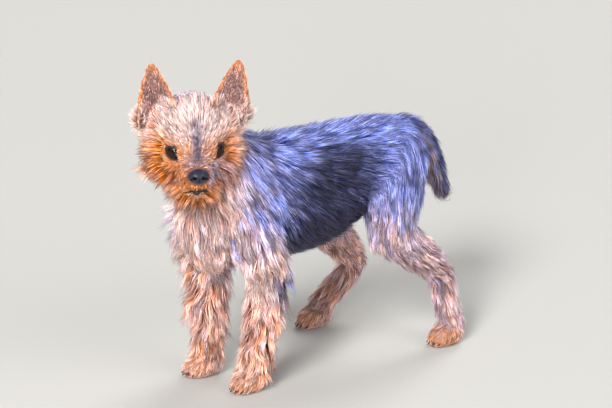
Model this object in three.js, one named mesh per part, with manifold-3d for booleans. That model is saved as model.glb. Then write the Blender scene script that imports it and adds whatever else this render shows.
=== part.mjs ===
// A Yorkshire terrier in a short clip, standing with its head turned to its left, life size.
// Millimetres, +Z up, nose of the trunk towards -Y, the dog's left towards +X.
// Each part of the body is a closed core of flesh and undercoat, with flat locks of hair rooted in it.
import * as THREE from "three";
import { mergeVertices } from "three/addons/utils/BufferGeometryUtils.js";
import Module from "manifold-3d";

const wasm = await Module();
wasm.setup();

// Driving dimensions, over the skin unless the name says coat
const WITHERS = 219; // height of the back behind the neck
const TRUNK_WIDTH = 84;
const CHEST_DEPTH = 102;
const FRONT_STANCE = 57; // between the middles of the fore feet
const HEAD_YAW = 59; // degrees that the head turns to the left
const HEAD_NOD = 11; // degrees that the nose points down
const SKULL_WIDTH = 60;
const EYE_SPACING = 41;
const EYE_RADIUS = 8.5;
const MUZZLE_REACH = 28; // from the eyes to the tip of the nose
const EAR_HEIGHT = 46;
const EAR_WIDTH = 35;
const GAP = 0.3; // left between nodes that touch
const FINEST = 0.08; // detail that the joined surface may lose
const CORE_SHARE = 0.45; // how much of the coat's depth is solid under the locks

const LEFT = new THREE.Vector3(1, 0, 0);
const UP = new THREE.Vector3(0, 0, 1);
const DOWN = new THREE.Vector3(0, 0, -1);
const RAD = Math.PI / 180;
const mix = (a, b, k) => a + (b - a) * k;
const clamp = THREE.MathUtils.clamp;

// The same draws on every run
let seed = 20260;
function random() {
  seed = (seed * 1664525 + 1013904223) % 4294967296;
  return seed / 4294967296;
}
const vary = (share) => 1 + share * (2 * random() - 1);

// Solids

function solidOf(geometry) {
  geometry.deleteAttribute("normal");
  geometry.deleteAttribute("uv");
  const merged = mergeVertices(geometry);
  const vertProperties = new Float32Array(merged.getAttribute("position").array);
  const triVerts = new Uint32Array(merged.index.array);
  const solid = new wasm.Manifold(new wasm.Mesh({ numProp: 3, vertProperties, triVerts }));
  if (solid.volume() > 0) return solid;
  for (let i = 0; i < triVerts.length; i += 3) {
    [triVerts[i + 1], triVerts[i + 2]] = [triVerts[i + 2], triVerts[i + 1]];
  }
  return new wasm.Manifold(new wasm.Mesh({ numProp: 3, vertProperties, triVerts }));
}

// A sphere whose rings are moved to new places. Its first and last rings are points, so it stays closed.
function closedForm(rows, sides, place) {
  const shape = new THREE.SphereGeometry(1, sides, rows - 1);
  const spots = shape.getAttribute("position");
  for (let i = 0; i < spots.count; i++) {
    const row = Math.floor(i / (sides + 1));
    const turn = (2 * Math.PI * ((i % (sides + 1)) % sides)) / sides;
    const { x, y, z } = place(row, turn);
    spots.setXYZ(i, x, y, z);
  }
  return solidOf(shape);
}

function ball(centre, radius, sides = 12) {
  const shape = new THREE.SphereGeometry(radius, sides, Math.round(sides * 0.7));
  return solidOf(shape.translate(centre.x, centre.y, centre.z));
}

// A length of flesh: an oval tube along a smooth line, with rounded ends.
// A station is [x, y, z, half width, half depth, coat depth], the width measured along `side`.
class Flesh {
  constructor(stations, { side = LEFT, sides = 12, rings = 10, dome = 0.75, frame = null } = {}) {
    const spots = stations.map(([x, y, z]) => new THREE.Vector3(x, y, z));
    this.side = side.clone();
    if (frame) {
      spots.forEach((p) => p.applyMatrix4(frame));
      this.side.transformDirection(frame);
    }
    this.line = new THREE.CatmullRomCurve3(spots);
    this.sizes = new THREE.CatmullRomCurve3(stations.map((s) => new THREE.Vector3(s[3], s[4], s[5])));
    this.length = this.line.getLength();
    this.sides = sides;
    this.rings = rings;
    this.dome = dome;
    this.samples = Array.from({ length: 25 }, (_, i) => this.section(i / 24));
  }

  section(t) {
    const k = clamp(t, 0, 1);
    const along = this.line.getTangent(k);
    const past = (t - k) * this.length;
    const centre = this.line.getPoint(k).addScaledVector(along, past);
    const across = this.side.clone().addScaledVector(along, -this.side.dot(along)).normalize();
    const up = new THREE.Vector3().crossVectors(across, along);
    const { x: half, y: deep, z: coat } = this.sizes.getPoint(k);
    const slope = clamp(past / (this.dome * 0.5 * (half + deep) + coat * CORE_SHARE), -0.95, 0.95);
    return { t, centre, along, across, up, half, deep, coat, slope };
  }

  // Where a lock is rooted, at a share t of the length and an angle round it, and the way out there.
  // Beyond the ends the root is on the dome.
  root(t, turn) {
    const { centre, along, across, up, half, deep, coat, slope } = this.section(t);
    const scale = Math.sqrt(1 - slope ** 2);
    const out = coat * CORE_SHARE;
    const spot = centre
      .clone()
      .addScaledVector(across, (half + out) * scale * Math.cos(turn))
      .addScaledVector(up, (deep + out) * scale * Math.sin(turn));
    const normal = across
      .clone()
      .multiplyScalar((scale * Math.cos(turn)) / half)
      .addScaledVector(up, (scale * Math.sin(turn)) / deep)
      .addScaledVector(along, slope / Math.min(half, deep))
      .normalize();
    return { spot, normal };
  }

  // The closed solid, `share` of the coat's depth and `grow` outside the skin.
  solid(share, grow = 0) {
    const rows = [];
    const end = (t, sign) => {
      const s = this.section(t);
      const out = s.coat * share + grow;
      const reach = this.dome * 0.5 * (s.half + s.deep) + out;
      const steps = [0, 0.6].map((k) => {
        const angle = (k * Math.PI) / 2;
        const centre = s.centre.clone().addScaledVector(s.along, sign * reach * Math.cos(angle));
        return { ...s, centre, out, scale: Math.sin(angle) };
      });
      return sign < 0 ? steps : steps.reverse();
    };
    rows.push(...end(0, -1));
    for (let i = 0; i <= this.rings; i++) {
      const s = this.section(i / this.rings);
      rows.push({ ...s, out: s.coat * share + grow, scale: 1 });
    }
    rows.push(...end(1, 1));
    return closedForm(rows.length, this.sides, (row, turn) => {
      const { centre, across, up, half, deep, out, scale } = rows[row];
      return centre
        .clone()
        .addScaledVector(across, (half + out) * scale * Math.cos(turn))
        .addScaledVector(up, (deep + out) * scale * Math.sin(turn));
    });
  }

  // How far a point is outside the flesh with `share` of its coat, and the way out.
  gapTo(point, share) {
    let best = this.samples[0];
    for (const s of this.samples) {
      if (s.centre.distanceToSquared(point) < best.centre.distanceToSquared(point)) best = s;
    }
    const slip = best.along.dot(point.clone().sub(best.centre)) / this.length;
    const s = this.section(clamp(best.t + slip, 0, 1));
    const off = point.clone().sub(s.centre);
    const out = s.coat * share;
    const reach = this.dome * 0.5 * (s.half + s.deep) + out;
    const [x, y, z] = [s.across, s.up, s.along].map((way) => off.dot(way));
    const ratio = Math.hypot(x / (s.half + out), y / (s.deep + out), z / reach);
    const away = off.clone().multiplyScalar(1 / Math.max(ratio, 0.05));
    return { gap: (ratio - 1) * away.length(), way: off.normalize() };
  }
}

// The places of the body, from the driving dimensions

const BACK = WITHERS - CHEST_DEPTH / 2;
const RIB = TRUNK_WIDTH / 2;
const DEEP = CHEST_DEPTH / 2;

const TORSO = [
  [0, -14, BACK - 9, RIB * 0.62, DEEP * 0.62, 12],
  [0, 12, BACK - 5, RIB * 0.88, DEEP * 0.86, 12],
  [0, 50, BACK, RIB * 0.98, DEEP, 11],
  [0, 95, BACK - 1, RIB, DEEP, 11],
  [0, 135, BACK + 6, RIB * 0.92, DEEP * 0.84, 10],
  [0, 170, BACK + 11, RIB * 0.84, DEEP * 0.7, 9],
  [0, 203, BACK + 9, RIB * 0.76, DEEP * 0.64, 8],
];
const ribs = new Flesh(TORSO.slice(0, 4), { sides: 12, rings: 5 });
const loin = new Flesh(TORSO.slice(3), { sides: 12, rings: 5 });
const chest = new Flesh(
  [
    [0, -14, 186, 20, 15, 12],
    [0, -20, 160, 24, 17, 12],
    [0, -14, 134, 20, 14, 13],
  ],
  { sides: 10, rings: 4 },
);

const headFrame = new THREE.Matrix4()
  .makeTranslation(8, -38, 240)
  .multiply(new THREE.Matrix4().makeRotationZ(HEAD_YAW * RAD))
  .multiply(new THREE.Matrix4().makeRotationX(HEAD_NOD * RAD));
const inHead = (x, y, z) => new THREE.Vector3(x, y, z).applyMatrix4(headFrame);
const headWay = (x, y, z) => new THREE.Vector3(x, y, z).transformDirection(headFrame);

const neck = new Flesh(
  [
    [0, 34, 184, 32, 38, 12],
    [-2, 10, 203, 27, 31, 13],
    [-6, -12, 222, 24, 26, 13],
    [-5, -26, 234, 22, 24, 12],
  ],
  { sides: 10, rings: 5 },
);

// The head, in its own frame: the eyes at z = 2, the face towards -y
const EYE_LINE = -24;
const SKULL = SKULL_WIDTH / 2;
const NOSE_TIP = EYE_LINE - MUZZLE_REACH;

const skull = new Flesh(
  [
    [0, -25, 3, SKULL * 0.66, 17, 7],
    [0, -14, 8, SKULL * 0.95, 24, 10],
    [0, 4, 9, SKULL, 26, 12],
    [0, 20, 5, SKULL * 0.85, 23, 12],
  ],
  { sides: 12, rings: 5, frame: headFrame },
);
const muzzle = new Flesh(
  [
    [0, NOSE_TIP + 9, -16, 10, 10, 3],
    [0, NOSE_TIP + 18, -15, 13, 12.5, 5],
    [0, EYE_LINE + 4, -12, 16, 15, 6],
    [0, EYE_LINE + 16, -8, 19, 17, 8],
  ],
  { sides: 10, rings: 4, dome: 0.5, frame: headFrame },
);
const jaw = new Flesh(
  [
    [0, NOSE_TIP + 12, -33, 8.5, 5.5, 8],
    [0, EYE_LINE, -34, 13, 8, 9],
    [0, EYE_LINE + 20, -27, 19, 12, 9],
  ],
  { sides: 10, rings: 3, dome: 0.6, frame: headFrame },
);
const cheek = (sign) =>
  new Flesh(
    [
      [sign * 17, -17, -13, 9, 10, 7],
      [sign * 22, -5, -9, 13, 16, 13],
      [sign * 22, 8, -4, 12, 17, 15],
    ],
    { sides: 8, rings: 3, frame: headFrame },
  );
const cheeks = [cheek(1), cheek(-1)];

const TAIL = [
  [0, 196, 200, 9, 9, 7],
  [0, 222, 201, 7.5, 7.5, 7],
  [0, 243, 184, 6.5, 7, 8],
  [0, 258, 156, 5, 5.5, 8],
  [0, 270, 128, 3, 3, 7],
];
const tails = [
  new Flesh(TAIL.slice(0, 3), { sides: 8, rings: 5 }),
  new Flesh(TAIL.slice(2, 4), { sides: 8, rings: 3 }),
  new Flesh(TAIL.slice(3), { sides: 8, rings: 3 }),
];

// The legs. Stations run downwards, and the coat is deeper behind than in front.
const STANCE = FRONT_STANCE / 2;
function foreLeg(sign, foot) {
  const x = sign * STANCE;
  const elbow = [x + sign * 7, foot + 15, 112];
  return {
    sign,
    foot: [x, foot],
    upperArm: new Flesh(
      [
        [sign * 27, 6, 158, 15, 24, 9],
        [x + sign * 4, foot + 7, 136, 14, 20, 11],
        [elbow[0], elbow[1], elbow[2], 11, 14, 13],
      ],
      { sides: 9, rings: 4 },
    ),
    forearm: new Flesh(
      [
        [elbow[0] - sign, elbow[1] - 1, elbow[2] - 12, 10, 12, 13],
        [x + sign * 4, foot + 10, 72, 9, 10.5, 12],
        [x + sign, foot + 6, 38, 8, 9, 11],
        [x, foot + 2, 22, 8.5, 9, 9],
      ],
      { sides: 8, rings: 6 },
    ),
    paw: new Flesh(
      [
        [x, foot + 9, 9, 10, 8, 4],
        [x, foot - 3, 9, 12, 8.5, 4],
        [x + sign, foot - 13, 7, 9.5, 6.5, 3],
      ],
      { sides: 10, rings: 4 },
    ),
  };
}

function hindLeg(sign, knee, hock, foot) {
  return {
    sign,
    foot,
    thigh: new Flesh(
      [
        [sign * 20, 196, 184, 20, 26, 8],
        [mix(sign * 24, knee[0], 0.5), mix(192, knee[1], 0.5), mix(180, knee[2], 0.4), 19, 30, 9],
        [knee[0], knee[1] + 6, knee[2] + 4, 14, 20, 10],
      ],
      { sides: 9, rings: 4 },
    ),
    shank: new Flesh(
      [
        [knee[0], knee[1] + 3, knee[2] - 4, 12.5, 17, 10],
        [(knee[0] + hock[0]) / 2, (knee[1] + hock[1]) / 2 + 2, (knee[2] + hock[2]) / 2, 10, 13, 11],
        [hock[0], hock[1] - 3, hock[2] + 4, 7.5, 9, 9],
      ],
      { sides: 8, rings: 5 },
    ),
    hock: new Flesh(
      [
        [hock[0], hock[1] + 2, hock[2] - 3, 7.5, 9, 8],
        [mix(hock[0], foot[0], 0.5), mix(hock[1], foot[1], 0.5) + 3, mix(hock[2], 12, 0.5), 7, 8, 8],
        [foot[0], foot[1] + 6, 20, 8, 8.5, 7],
      ],
      { sides: 9, rings: 4 },
    ),
    paw: new Flesh(
      [
        [foot[0], foot[1] + 8, 9, 9.5, 8, 4],
        [foot[0], foot[1] - 3, 9, 11.5, 8.5, 4],
        [foot[0], foot[1] - 12, 7, 9, 6.5, 3],
      ],
      { sides: 10, rings: 4 },
    ),
  };
}

const foreLegs = { left: foreLeg(1, 8), right: foreLeg(-1, -1) };
const hindLegs = {
  left: hindLeg(1, [44, 156, 124], [51, 218, 70], [59, 221]),
  right: hindLeg(-1, [-40, 146, 116], [-52, 201, 60], [-56, 155]),
};

// Lengths that run into each other, so that locks may start close to where they meet
const torso = [ribs, loin, chest, neck];
for (const leg of Object.values(foreLegs)) torso.push(leg.upperArm);
for (const leg of Object.values(hindLegs)) torso.push(leg.thigh);

// Everything that a lock has to lie outside of
const body = [
  ribs,
  loin,
  chest,
  neck,
  skull,
  muzzle,
  jaw,
  ...cheeks,
  ...tails,
  ...Object.values(foreLegs).flatMap((leg) => [leg.upperArm, leg.forearm, leg.paw]),
  ...Object.values(hindLegs).flatMap((leg) => [leg.thigh, leg.shank, leg.hock, leg.paw]),
];

// Locks

const LOCK_ROWS = [0, 0.12, 0.45, 0.78, 1]; // shares of a lock's length, from its sunk root to its tip
const LOCK_WIDTHS = [0, 0.85, 1, 0.7, 0];
const LOCK_SECTION = [
  [0, 1],
  [-0.87, -0.5],
  [0.87, -0.5],
]; // a ridge and two thin edges, as shares of half the width and thickness
const EDGE_ROOM = 9; // a thin edge moves out this much further than a face when a lock grows
const SINK = 3.5;
const FLOOR_CLEARANCE = 1.2;

// A flat lock with a ridge along its outer face, from the points that it follows.
function lock(points, normal, width, thick, grow) {
  const last = points.length - 1;
  const ways = points.map((_, row) => {
    const [before, after] = [points[Math.max(row - 1, 0)], points[Math.min(row + 1, last)]];
    return after.clone().sub(before).normalize();
  });
  const across = new THREE.Vector3().crossVectors(ways[1], normal);
  const sides = ways.map((along) => across.addScaledVector(along, -across.dot(along)).normalize().clone());
  return closedForm(points.length, 3, (row, turn) => {
    const spot = points[row].clone();
    if (row === 0) return spot.addScaledVector(ways[0], -grow);
    if (row === last) return spot.addScaledVector(ways[last], 3 * grow);
    const ridge = new THREE.Vector3().crossVectors(sides[row], ways[row]);
    const [wide, high] = LOCK_SECTION[Math.round((3 * turn) / (2 * Math.PI))];
    return spot
      .addScaledVector(sides[row], wide * ((width / 2) * LOCK_WIDTHS[row] + EDGE_ROOM * grow))
      .addScaledVector(ridge, high * (thick / 2) * LOCK_WIDTHS[row] + Math.sign(high) * 1.2 * grow);
  });
}

// Moves `next` so that the line doesn't turn by more than SHARPEST at `here`, nor bunch up.
const SHARPEST = 50 * RAD;
function soften(before, here, next, step) {
  const came = here.clone().sub(before).normalize();
  const goes = next.clone().sub(here);
  const long = clamp(goes.length(), 0.75 * step, 1.25 * step);
  goes.normalize();
  const angle = came.angleTo(goes);
  if (angle > SHARPEST) {
    const off = goes.addScaledVector(came, -came.dot(goes)).normalize();
    goes.copy(came).multiplyScalar(Math.cos(SHARPEST)).addScaledVector(off, Math.sin(SHARPEST));
  }
  next.copy(here).addScaledVector(goes, long);
}

// The line that a lock follows: it starts sunk in the core, runs along its heading, and keeps to a height
// over the body that grows towards its tip, up to `loft` above the coat.
function lie(root, normal, heading, length, { rise, drop, curl, loft, coat }) {
  const points = [root.clone().addScaledVector(normal, -SINK).addScaledVector(heading, -1)];
  const spot = root.clone();
  const across = new THREE.Vector3().crossVectors(heading, normal);
  for (let row = 1; row < LOCK_ROWS.length; row++) {
    const share = LOCK_ROWS[row];
    const way = heading
      .clone()
      .addScaledVector(normal, rise * (1 - 0.6 * share))
      .addScaledVector(DOWN, drop * share)
      .addScaledVector(across, curl * Math.sin(share * 4.5))
      .normalize();
    spot.addScaledVector(way, (share - LOCK_ROWS[row - 1]) * length);
    if (row > 1) {
      const height = coat * (1 - CORE_SHARE) * 0.8 * share;
      let nearest = { gap: Infinity };
      for (const flesh of body) {
        const found = flesh.gapTo(spot, CORE_SHARE);
        if (found.gap < height) spot.addScaledVector(found.way, height - found.gap);
        if (found.gap < nearest.gap) nearest = found;
      }
      const over = nearest.gap - height - loft * share;
      if (over > 0) spot.addScaledVector(nearest.way, -over);
      spot.z = Math.max(spot.z, FLOOR_CLEARANCE + 2);
      soften(points.at(-2), points.at(-1), spot, (share - LOCK_ROWS[row - 1]) * length);
    }
    points.push(spot.clone());
  }
  return points;
}

// Rows of locks over a length of flesh, with every other row set half a lock further round.
// `turns` is the part of the way round that is covered, in degrees: 0 is the dog's left, 90 is up on the trunk
// and behind on a leg.
function coat(flesh, { own = [flesh], from = 0, to = 1, rows, round, turns = [0, 360], size, shape }) {
  const locks = [];
  for (let row = 0; row < rows; row++) {
    for (let i = 0; i < round; i++) {
      const t = mix(from, to, (row + 0.5 + 0.3 * (random() - 0.5)) / rows);
      const turn = mix(...turns, (i + 0.25 + 0.5 * (row % 2) + 0.3 * (random() - 0.5)) / round) * RAD;
      const section = flesh.section(t);
      const { spot: root, normal } = flesh.root(t, turn);
      const buried = body.some((other) => {
        if (other === flesh) return false;
        return other.gapTo(root, CORE_SHARE).gap < (own.includes(other) ? -2.5 : 1.5);
      });
      const [length, width, thick] = size(t, turn, section);
      const { heading, rise = 0.25, drop = 0.3, curl = 0, loft = 2 } = shape(t, turn, section);
      const level = heading.addScaledVector(normal, -heading.dot(normal)).normalize();
      const long = length * vary(0.12);
      const wide = width * vary(0.12);
      const bend = curl * (random() - 0.5) * 2;
      if (buried) continue;
      const line = lie(root, normal, level, long, { rise, drop, curl: bend, loft, coat: section.coat });
      locks.push((grow) => lock(line, normal, wide, thick, grow));
    }
  }
  return locks;
}

// The lie of the coat: along the flesh, and `fall` of the way towards the ground.
const flowing = (fall, options = {}) => (t, turn, section) => ({
  heading: section.along.clone().multiplyScalar(1 - fall).addScaledVector(DOWN, fall),
  ...options,
});

// Parts

const LIDS = 1.3; // thickness of the eyelids
const eyeAt = (sign) => inHead(sign * (EYE_SPACING / 2 - 4), -20.5, 2);
const gazeWay = (sign) => headWay(sign * 0.36, -0.93, 0);

// The opening between the lids, pointing out along the gaze.
function eyeOpening(sign) {
  const centre = eyeAt(sign);
  const gaze = gazeWay(sign);
  const across = headWay(sign * 0.93, 0.36, 0.1);
  const up = new THREE.Vector3().crossVectors(across, gaze).multiplyScalar(sign);
  const shape = new THREE.SphereGeometry(1, 10, 6);
  const spots = shape.getAttribute("position");
  for (let i = 0; i < spots.count; i++) {
    const p = centre
      .clone()
      .addScaledVector(gaze, 13 + 10 * spots.getZ(i))
      .addScaledVector(across, 8 * spots.getX(i))
      .addScaledVector(up, 6.8 * spots.getY(i));
    spots.setXYZ(i, p.x, p.y, p.z);
  }
  return solidOf(shape);
}

const MOUTH = [
  [17, -20, -29],
  [14, -30, -27],
  [9, -39, -26.5],
  [0, -43.5, -26],
];
const mirrored = (path) => [...path, ...path.slice(0, -1).reverse().map(([x, y, z]) => [-x, y, z])];
const alongMouth = (height, half, deep, inward) =>
  new Flesh(
    mirrored(MOUTH).map(([x, y, z]) => [x * (1 - inward), y + inward * 8, z + height, half, deep, 0]),
    { side: UP, sides: 5, rings: 8, dome: 0.5, frame: headFrame },
  );
const mouthCut = alongMouth(0, 0.9, 6, 0);
const lips = [alongMouth(2.4, 1.8, 2.2, 0.05), alongMouth(-2.6, 1.9, 2.4, 0.08)];

function headCore(grow) {
  const flesh = [skull, muzzle, jaw, ...cheeks].map((f) => f.solid(CORE_SHARE, grow));
  const lidBalls = [1, -1].map((sign) => ball(eyeAt(sign), EYE_RADIUS + LIDS + grow, 10));
  return [...flesh, ...lidBalls, ...lips.map((lip) => lip.solid(0, grow))];
}

// The head's hair spreads from the nose: up over the crown, out past the ears and down from the jaw.
const noseSpot = inHead(0, NOSE_TIP + 6, -6);
const faceWay = headWay(0, 1, 0);
const fromNose = (back, options) => (t, turn, section) => {
  const spread = section.centre
    .clone()
    .addScaledVector(section.across, section.half * Math.cos(turn))
    .addScaledVector(section.up, section.deep * Math.sin(turn))
    .sub(noseSpot);
  spread.addScaledVector(faceWay, -spread.dot(faceWay)).normalize();
  return { heading: spread.addScaledVector(faceWay, back), ...options };
};

function headLocks() {
  const own = [skull, muzzle, jaw, ...cheeks];
  const crown = coat(skull, {
    own,
    from: 0.15,
    to: 1,
    rows: 3,
    round: 6,
    turns: [-15, 195],
    size: () => [26, 14, 3],
    shape: fromNose(0.5, { rise: 0.3, drop: 0, curl: 0.3, loft: 3 }),
  });
  const sides = cheeks.flatMap((flesh, i) =>
    coat(flesh, {
      own,
      from: 0.15,
      to: 1,
      rows: 3,
      round: 3,
      turns: i ? [80, 260] : [100, -80],
      size: (t, turn) => [mix(14, 18, t) + 16 * Math.max(0, Math.sin(turn)), 14, 3],
      shape: fromNose(0.3, { rise: 0.5, drop: -0.1, curl: 0.3, loft: 14 }),
    }),
  );
  const beard = coat(jaw, {
    own,
    from: 0,
    to: 0.9,
    rows: 2,
    round: 4,
    turns: [190, 350],
    size: () => [16, 10, 2.8],
    shape: () => ({ heading: headWay(0, 0.4, -1), rise: 0.3, drop: 0.3, loft: 6 }),
  });
  return [...crown, ...sides, ...beard];
}

// An ear: a leaf, cupped towards the front, whose edges come forward round its hollow.
const EAR_STEPS = 6;
const EAR_TIPS = { 1: 41, [-1]: 35 };
function earPoint(sign, u, v, face) {
  const up = clamp(v, 0, 1);
  const wide = 1.3 + (EAR_WIDTH / 2) * (1 - up ** 1.7) ** 0.7;
  const cup = mix(75, 35, up) * RAD;
  const radius = wide / Math.sin(cup);
  const r = radius + (face - 0.5) * mix(2.2, 1.3, Math.abs(u));
  const x = mix(29, EAR_TIPS[sign], v) + r * Math.sin(u * cup);
  const y = mix(8, 10, v) - (radius - r * Math.cos(u * cup)) + (radius - wide) * 0.2;
  return inHead(sign * x, y, 22 + EAR_HEIGHT * v);
}

function ear(sign, grow) {
  const shape = new THREE.BoxGeometry(2, 1, 1, EAR_STEPS, EAR_STEPS, 1);
  const spots = shape.getAttribute("position");
  for (let i = 0; i < spots.count; i++) {
    const swell = 1 + grow * 0.06;
    const v = (spots.getY(i) + 0.5) * (1.12 + grow * 0.02) - 0.12;
    const p = earPoint(sign, spots.getX(i) * swell, v, spots.getZ(i) * (1 + grow) + 0.5);
    spots.setXYZ(i, p.x, p.y, p.z);
  }
  return solidOf(shape);
}

function nose(grow) {
  const pad = new Flesh(
    [
      [0, NOSE_TIP + 1.5, -10.5, 6.2, 4.6, 0],
      [0, NOSE_TIP + 4.5, -9.8, 8.2, 6.2, 0],
      [0, NOSE_TIP + 8, -9, 7.2, 5.8, 0],
    ],
    { sides: 12, rings: 2, dome: 0.4, frame: headFrame },
  ).solid(0, grow);
  if (grow) return pad;
  const nostrils = [1, -1].map((sign) =>
    new Flesh(
      [
        [sign * 3.4, NOSE_TIP - 2, -11.4, 1.7, 1.5, 0],
        [sign * 4.4, NOSE_TIP + 2.5, -10.6, 1.6, 1.4, 0],
      ],
      { sides: 6, rings: 1, frame: headFrame },
    ).solid(0),
  );
  const slit = new Flesh(
    [
      [0, NOSE_TIP - 0.6, -16.5, 0.5, 1, 0],
      [0, NOSE_TIP - 1.2, -10.5, 0.4, 1, 0],
    ],
    { sides: 4, rings: 1, frame: headFrame },
  ).solid(0);
  return wasm.Manifold.difference([pad, ...nostrils, slit]);
}

const floor = solidOf(new THREE.BoxGeometry(600, 800, 60).translate(0, 100, -30));

// A node: its core, its locks, what is cut away from it, and its colour.
const nodes = [];
function node(name, colour, core, { locks = [], cuts = () => [] } = {}) {
  nodes.push({ name, colour, core, locks, cuts });
}
const fleshCore = (...parts) => (grow) => parts.map((f) => f.solid(CORE_SHARE, grow));

const TAN = 0xc98a55;
const CREAM = 0xcdb29a;
const STEEL = 0x6b6f86;
const BLACK = 0x1c1a1c;

for (const [side, sign] of [["left", 1], ["right", -1]]) {
  node(`eye_${side}`, 0x2a1710, (grow) => [ball(eyeAt(sign), EYE_RADIUS + grow)]);
}
node("nose", BLACK, (grow) => [nose(grow)]);
for (const [side, sign] of [["left", 1], ["right", -1]]) {
  node(`ear_${side}`, TAN, (grow) => [ear(sign, grow)]);
}
node("head", TAN, headCore, {
  locks: headLocks(),
  cuts: () => [eyeOpening(1), eyeOpening(-1), mouthCut.solid(0)],
});

const neckLocks = coat(neck, {
  own: torso,
  from: 0,
  to: 0.9,
  rows: 3,
  round: 7,
  size: () => [38, 20, 3.4],
  shape: (t, turn, section) => ({
    heading: section.along.clone().multiplyScalar(-0.7).addScaledVector(DOWN, 0.9),
    rise: 0.2,
    drop: 0.4,
    curl: 0.3,
  }),
});
node("neck", CREAM, fleshCore(neck), { locks: neckLocks });

const chestLocks = coat(chest, {
  from: -0.3,
  to: 1,
  own: torso,
  rows: 3,
  round: 5,
  turns: [170, 370],
  size: () => [40, 20, 3.4],
  shape: () => ({ heading: new THREE.Vector3(0, 0.1, -1), rise: 0.3, drop: 0.3, curl: 0.3, loft: 6 }),
});
node("chest", CREAM, fleshCore(chest), { locks: chestLocks });

// The trunk's hair runs back along the spine, slants down over the ribs and hangs along the belly.
const TORSO_END = TORSO.at(-1)[1];
const backwards = (t, turn, section) => {
  const side = Math.abs(Math.cos(turn));
  const rear = clamp((3 * section.centre.y) / TORSO_END, 0, 1);
  const fall = mix(0.85, 0.3, rear) * (0.35 + 0.65 * side);
  return {
    heading: section.along.clone().multiplyScalar(1 - fall).addScaledVector(DOWN, fall),
    rise: 0.14,
    drop: 0.4 * side,
    curl: 0.25,
  };
};
for (const [name, flesh] of Object.entries({ ribs, loin })) {
  const locks = coat(flesh, {
    own: torso,
    from: 0,
    to: 0.97,
    rows: 4,
    round: 9,
    size: () => [48, 25, 3.4],
    shape: backwards,
  });
  node(name, STEEL, fleshCore(flesh), { locks });
}

const alongTail = (t, turn, section) => ({
  heading: section.along.clone().multiplyScalar(0.8).addScaledVector(DOWN, 0.2),
  rise: 0.28,
  drop: 0.2,
  curl: 0.2,
});
tails.forEach((flesh, i) => {
  const locks = coat(flesh, {
    own: tails,
    from: i ? 0 : 0.35,
    to: 1,
    rows: 2,
    round: 4,
    size: (t) => [mix(30, 24, (i + t) / 3), 14, 2.8],
    shape: alongTail,
  });
  node(`tail_${["root", "middle", "end"][i]}`, STEEL, fleshCore(flesh), { locks });
});

for (const [side, leg] of Object.entries(foreLegs)) {
  node(`paw_front_${side}`, TAN, fleshCore(leg.paw));
  node(`upper_arm_${side}`, CREAM, fleshCore(leg.upperArm), {
    locks: coat(leg.upperArm, {
      own: torso,
      from: -0.3,
      to: 1,
      rows: 3,
      round: 6,
      size: () => [36, 18, 3.2],
      shape: flowing(0.3, { rise: 0.35, drop: 0.2, curl: 0.4, loft: 8 }),
    }),
  });
  node(`forearm_${side}`, TAN, fleshCore(leg.forearm), {
    locks: coat(leg.forearm, {
      from: 0,
      to: 0.95,
      rows: 4,
      round: 4,
      size: (t, turn) => [mix(30, 20, t) * (Math.sin(turn) > 0.2 ? 1.15 : 0.9), 14, 3],
      shape: (t, turn, section) => {
        const behind = Math.sin(turn) > 0.2;
        return {
          heading: section.along.clone(),
          rise: behind ? 0.6 : 0.25,
          drop: behind ? -0.25 : 0.2,
          curl: 0.4,
          loft: behind ? 9 : 2,
        };
      },
    }),
  });
}

for (const [side, leg] of Object.entries(hindLegs)) {
  node(`paw_hind_${side}`, TAN, fleshCore(leg.paw));
  node(`thigh_${side}`, STEEL, fleshCore(leg.thigh), {
    locks: coat(leg.thigh, {
      own: torso,
      from: 0,
      to: 1,
      rows: 3,
      round: 6,
      size: () => [42, 22, 3.2],
      shape: flowing(0.3, { rise: 0.22, drop: 0.3, curl: 0.3, loft: 3 }),
    }),
  });
  node(`shank_${side}`, CREAM, fleshCore(leg.shank), {
    locks: coat(leg.shank, {
      from: 0,
      to: 1,
      rows: 3,
      round: 4,
      size: () => [30, 15, 3],
      shape: flowing(0.2, { rise: 0.35, drop: 0.1, curl: 0.4, loft: 6 }),
    }),
  });
  node(`hock_${side}`, CREAM, fleshCore(leg.hock), {
    locks: coat(leg.hock, {
      from: 0,
      to: 0.9,
      rows: 2,
      round: 4,
      size: () => [24, 13, 2.8],
      shape: flowing(0.3, { rise: 0.3, drop: 0.1, curl: 0.3, loft: 5 }),
    }),
  });
}

// Joining, parting and placing

const apart = (a, b) => {
  const [p, q] = [a.boundingBox(), b.boundingBox()];
  return [0, 1, 2].some((k) => p.min[k] > q.max[k] || p.max[k] < q.min[k]);
};

function joined({ core, locks }, grow) {
  return wasm.Manifold.union([...core(grow), ...locks.map((make) => make(grow))]);
}

function largest(solid) {
  return solid.decompose().reduce((a, b) => (a.volume() > b.volume() ? a : b));
}

const whole = nodes.map((n) => joined(n, 0));
const grown = nodes.map((n) => joined(n, GAP));
const parted = nodes.map((n, i) => {
  const away = grown.slice(0, i).filter((other) => !apart(other, whole[i]));
  return largest(wasm.Manifold.difference([whole[i], ...away, ...n.cuts(), floor]).simplify(FINEST));
});

function meshOf(solid, name, colour) {
  const { vertProperties, triVerts } = solid.getMesh();
  const geometry = new THREE.BufferGeometry();
  geometry.setAttribute("position", new THREE.BufferAttribute(new Float32Array(vertProperties), 3));
  geometry.setIndex(new THREE.BufferAttribute(triVerts, 1));
  geometry.computeVertexNormals();
  const material = new THREE.MeshStandardMaterial({ color: colour, roughness: 0.8, metalness: 0 });
  const mesh = new THREE.Mesh(geometry, material);
  mesh.name = name;
  return mesh;
}

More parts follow.
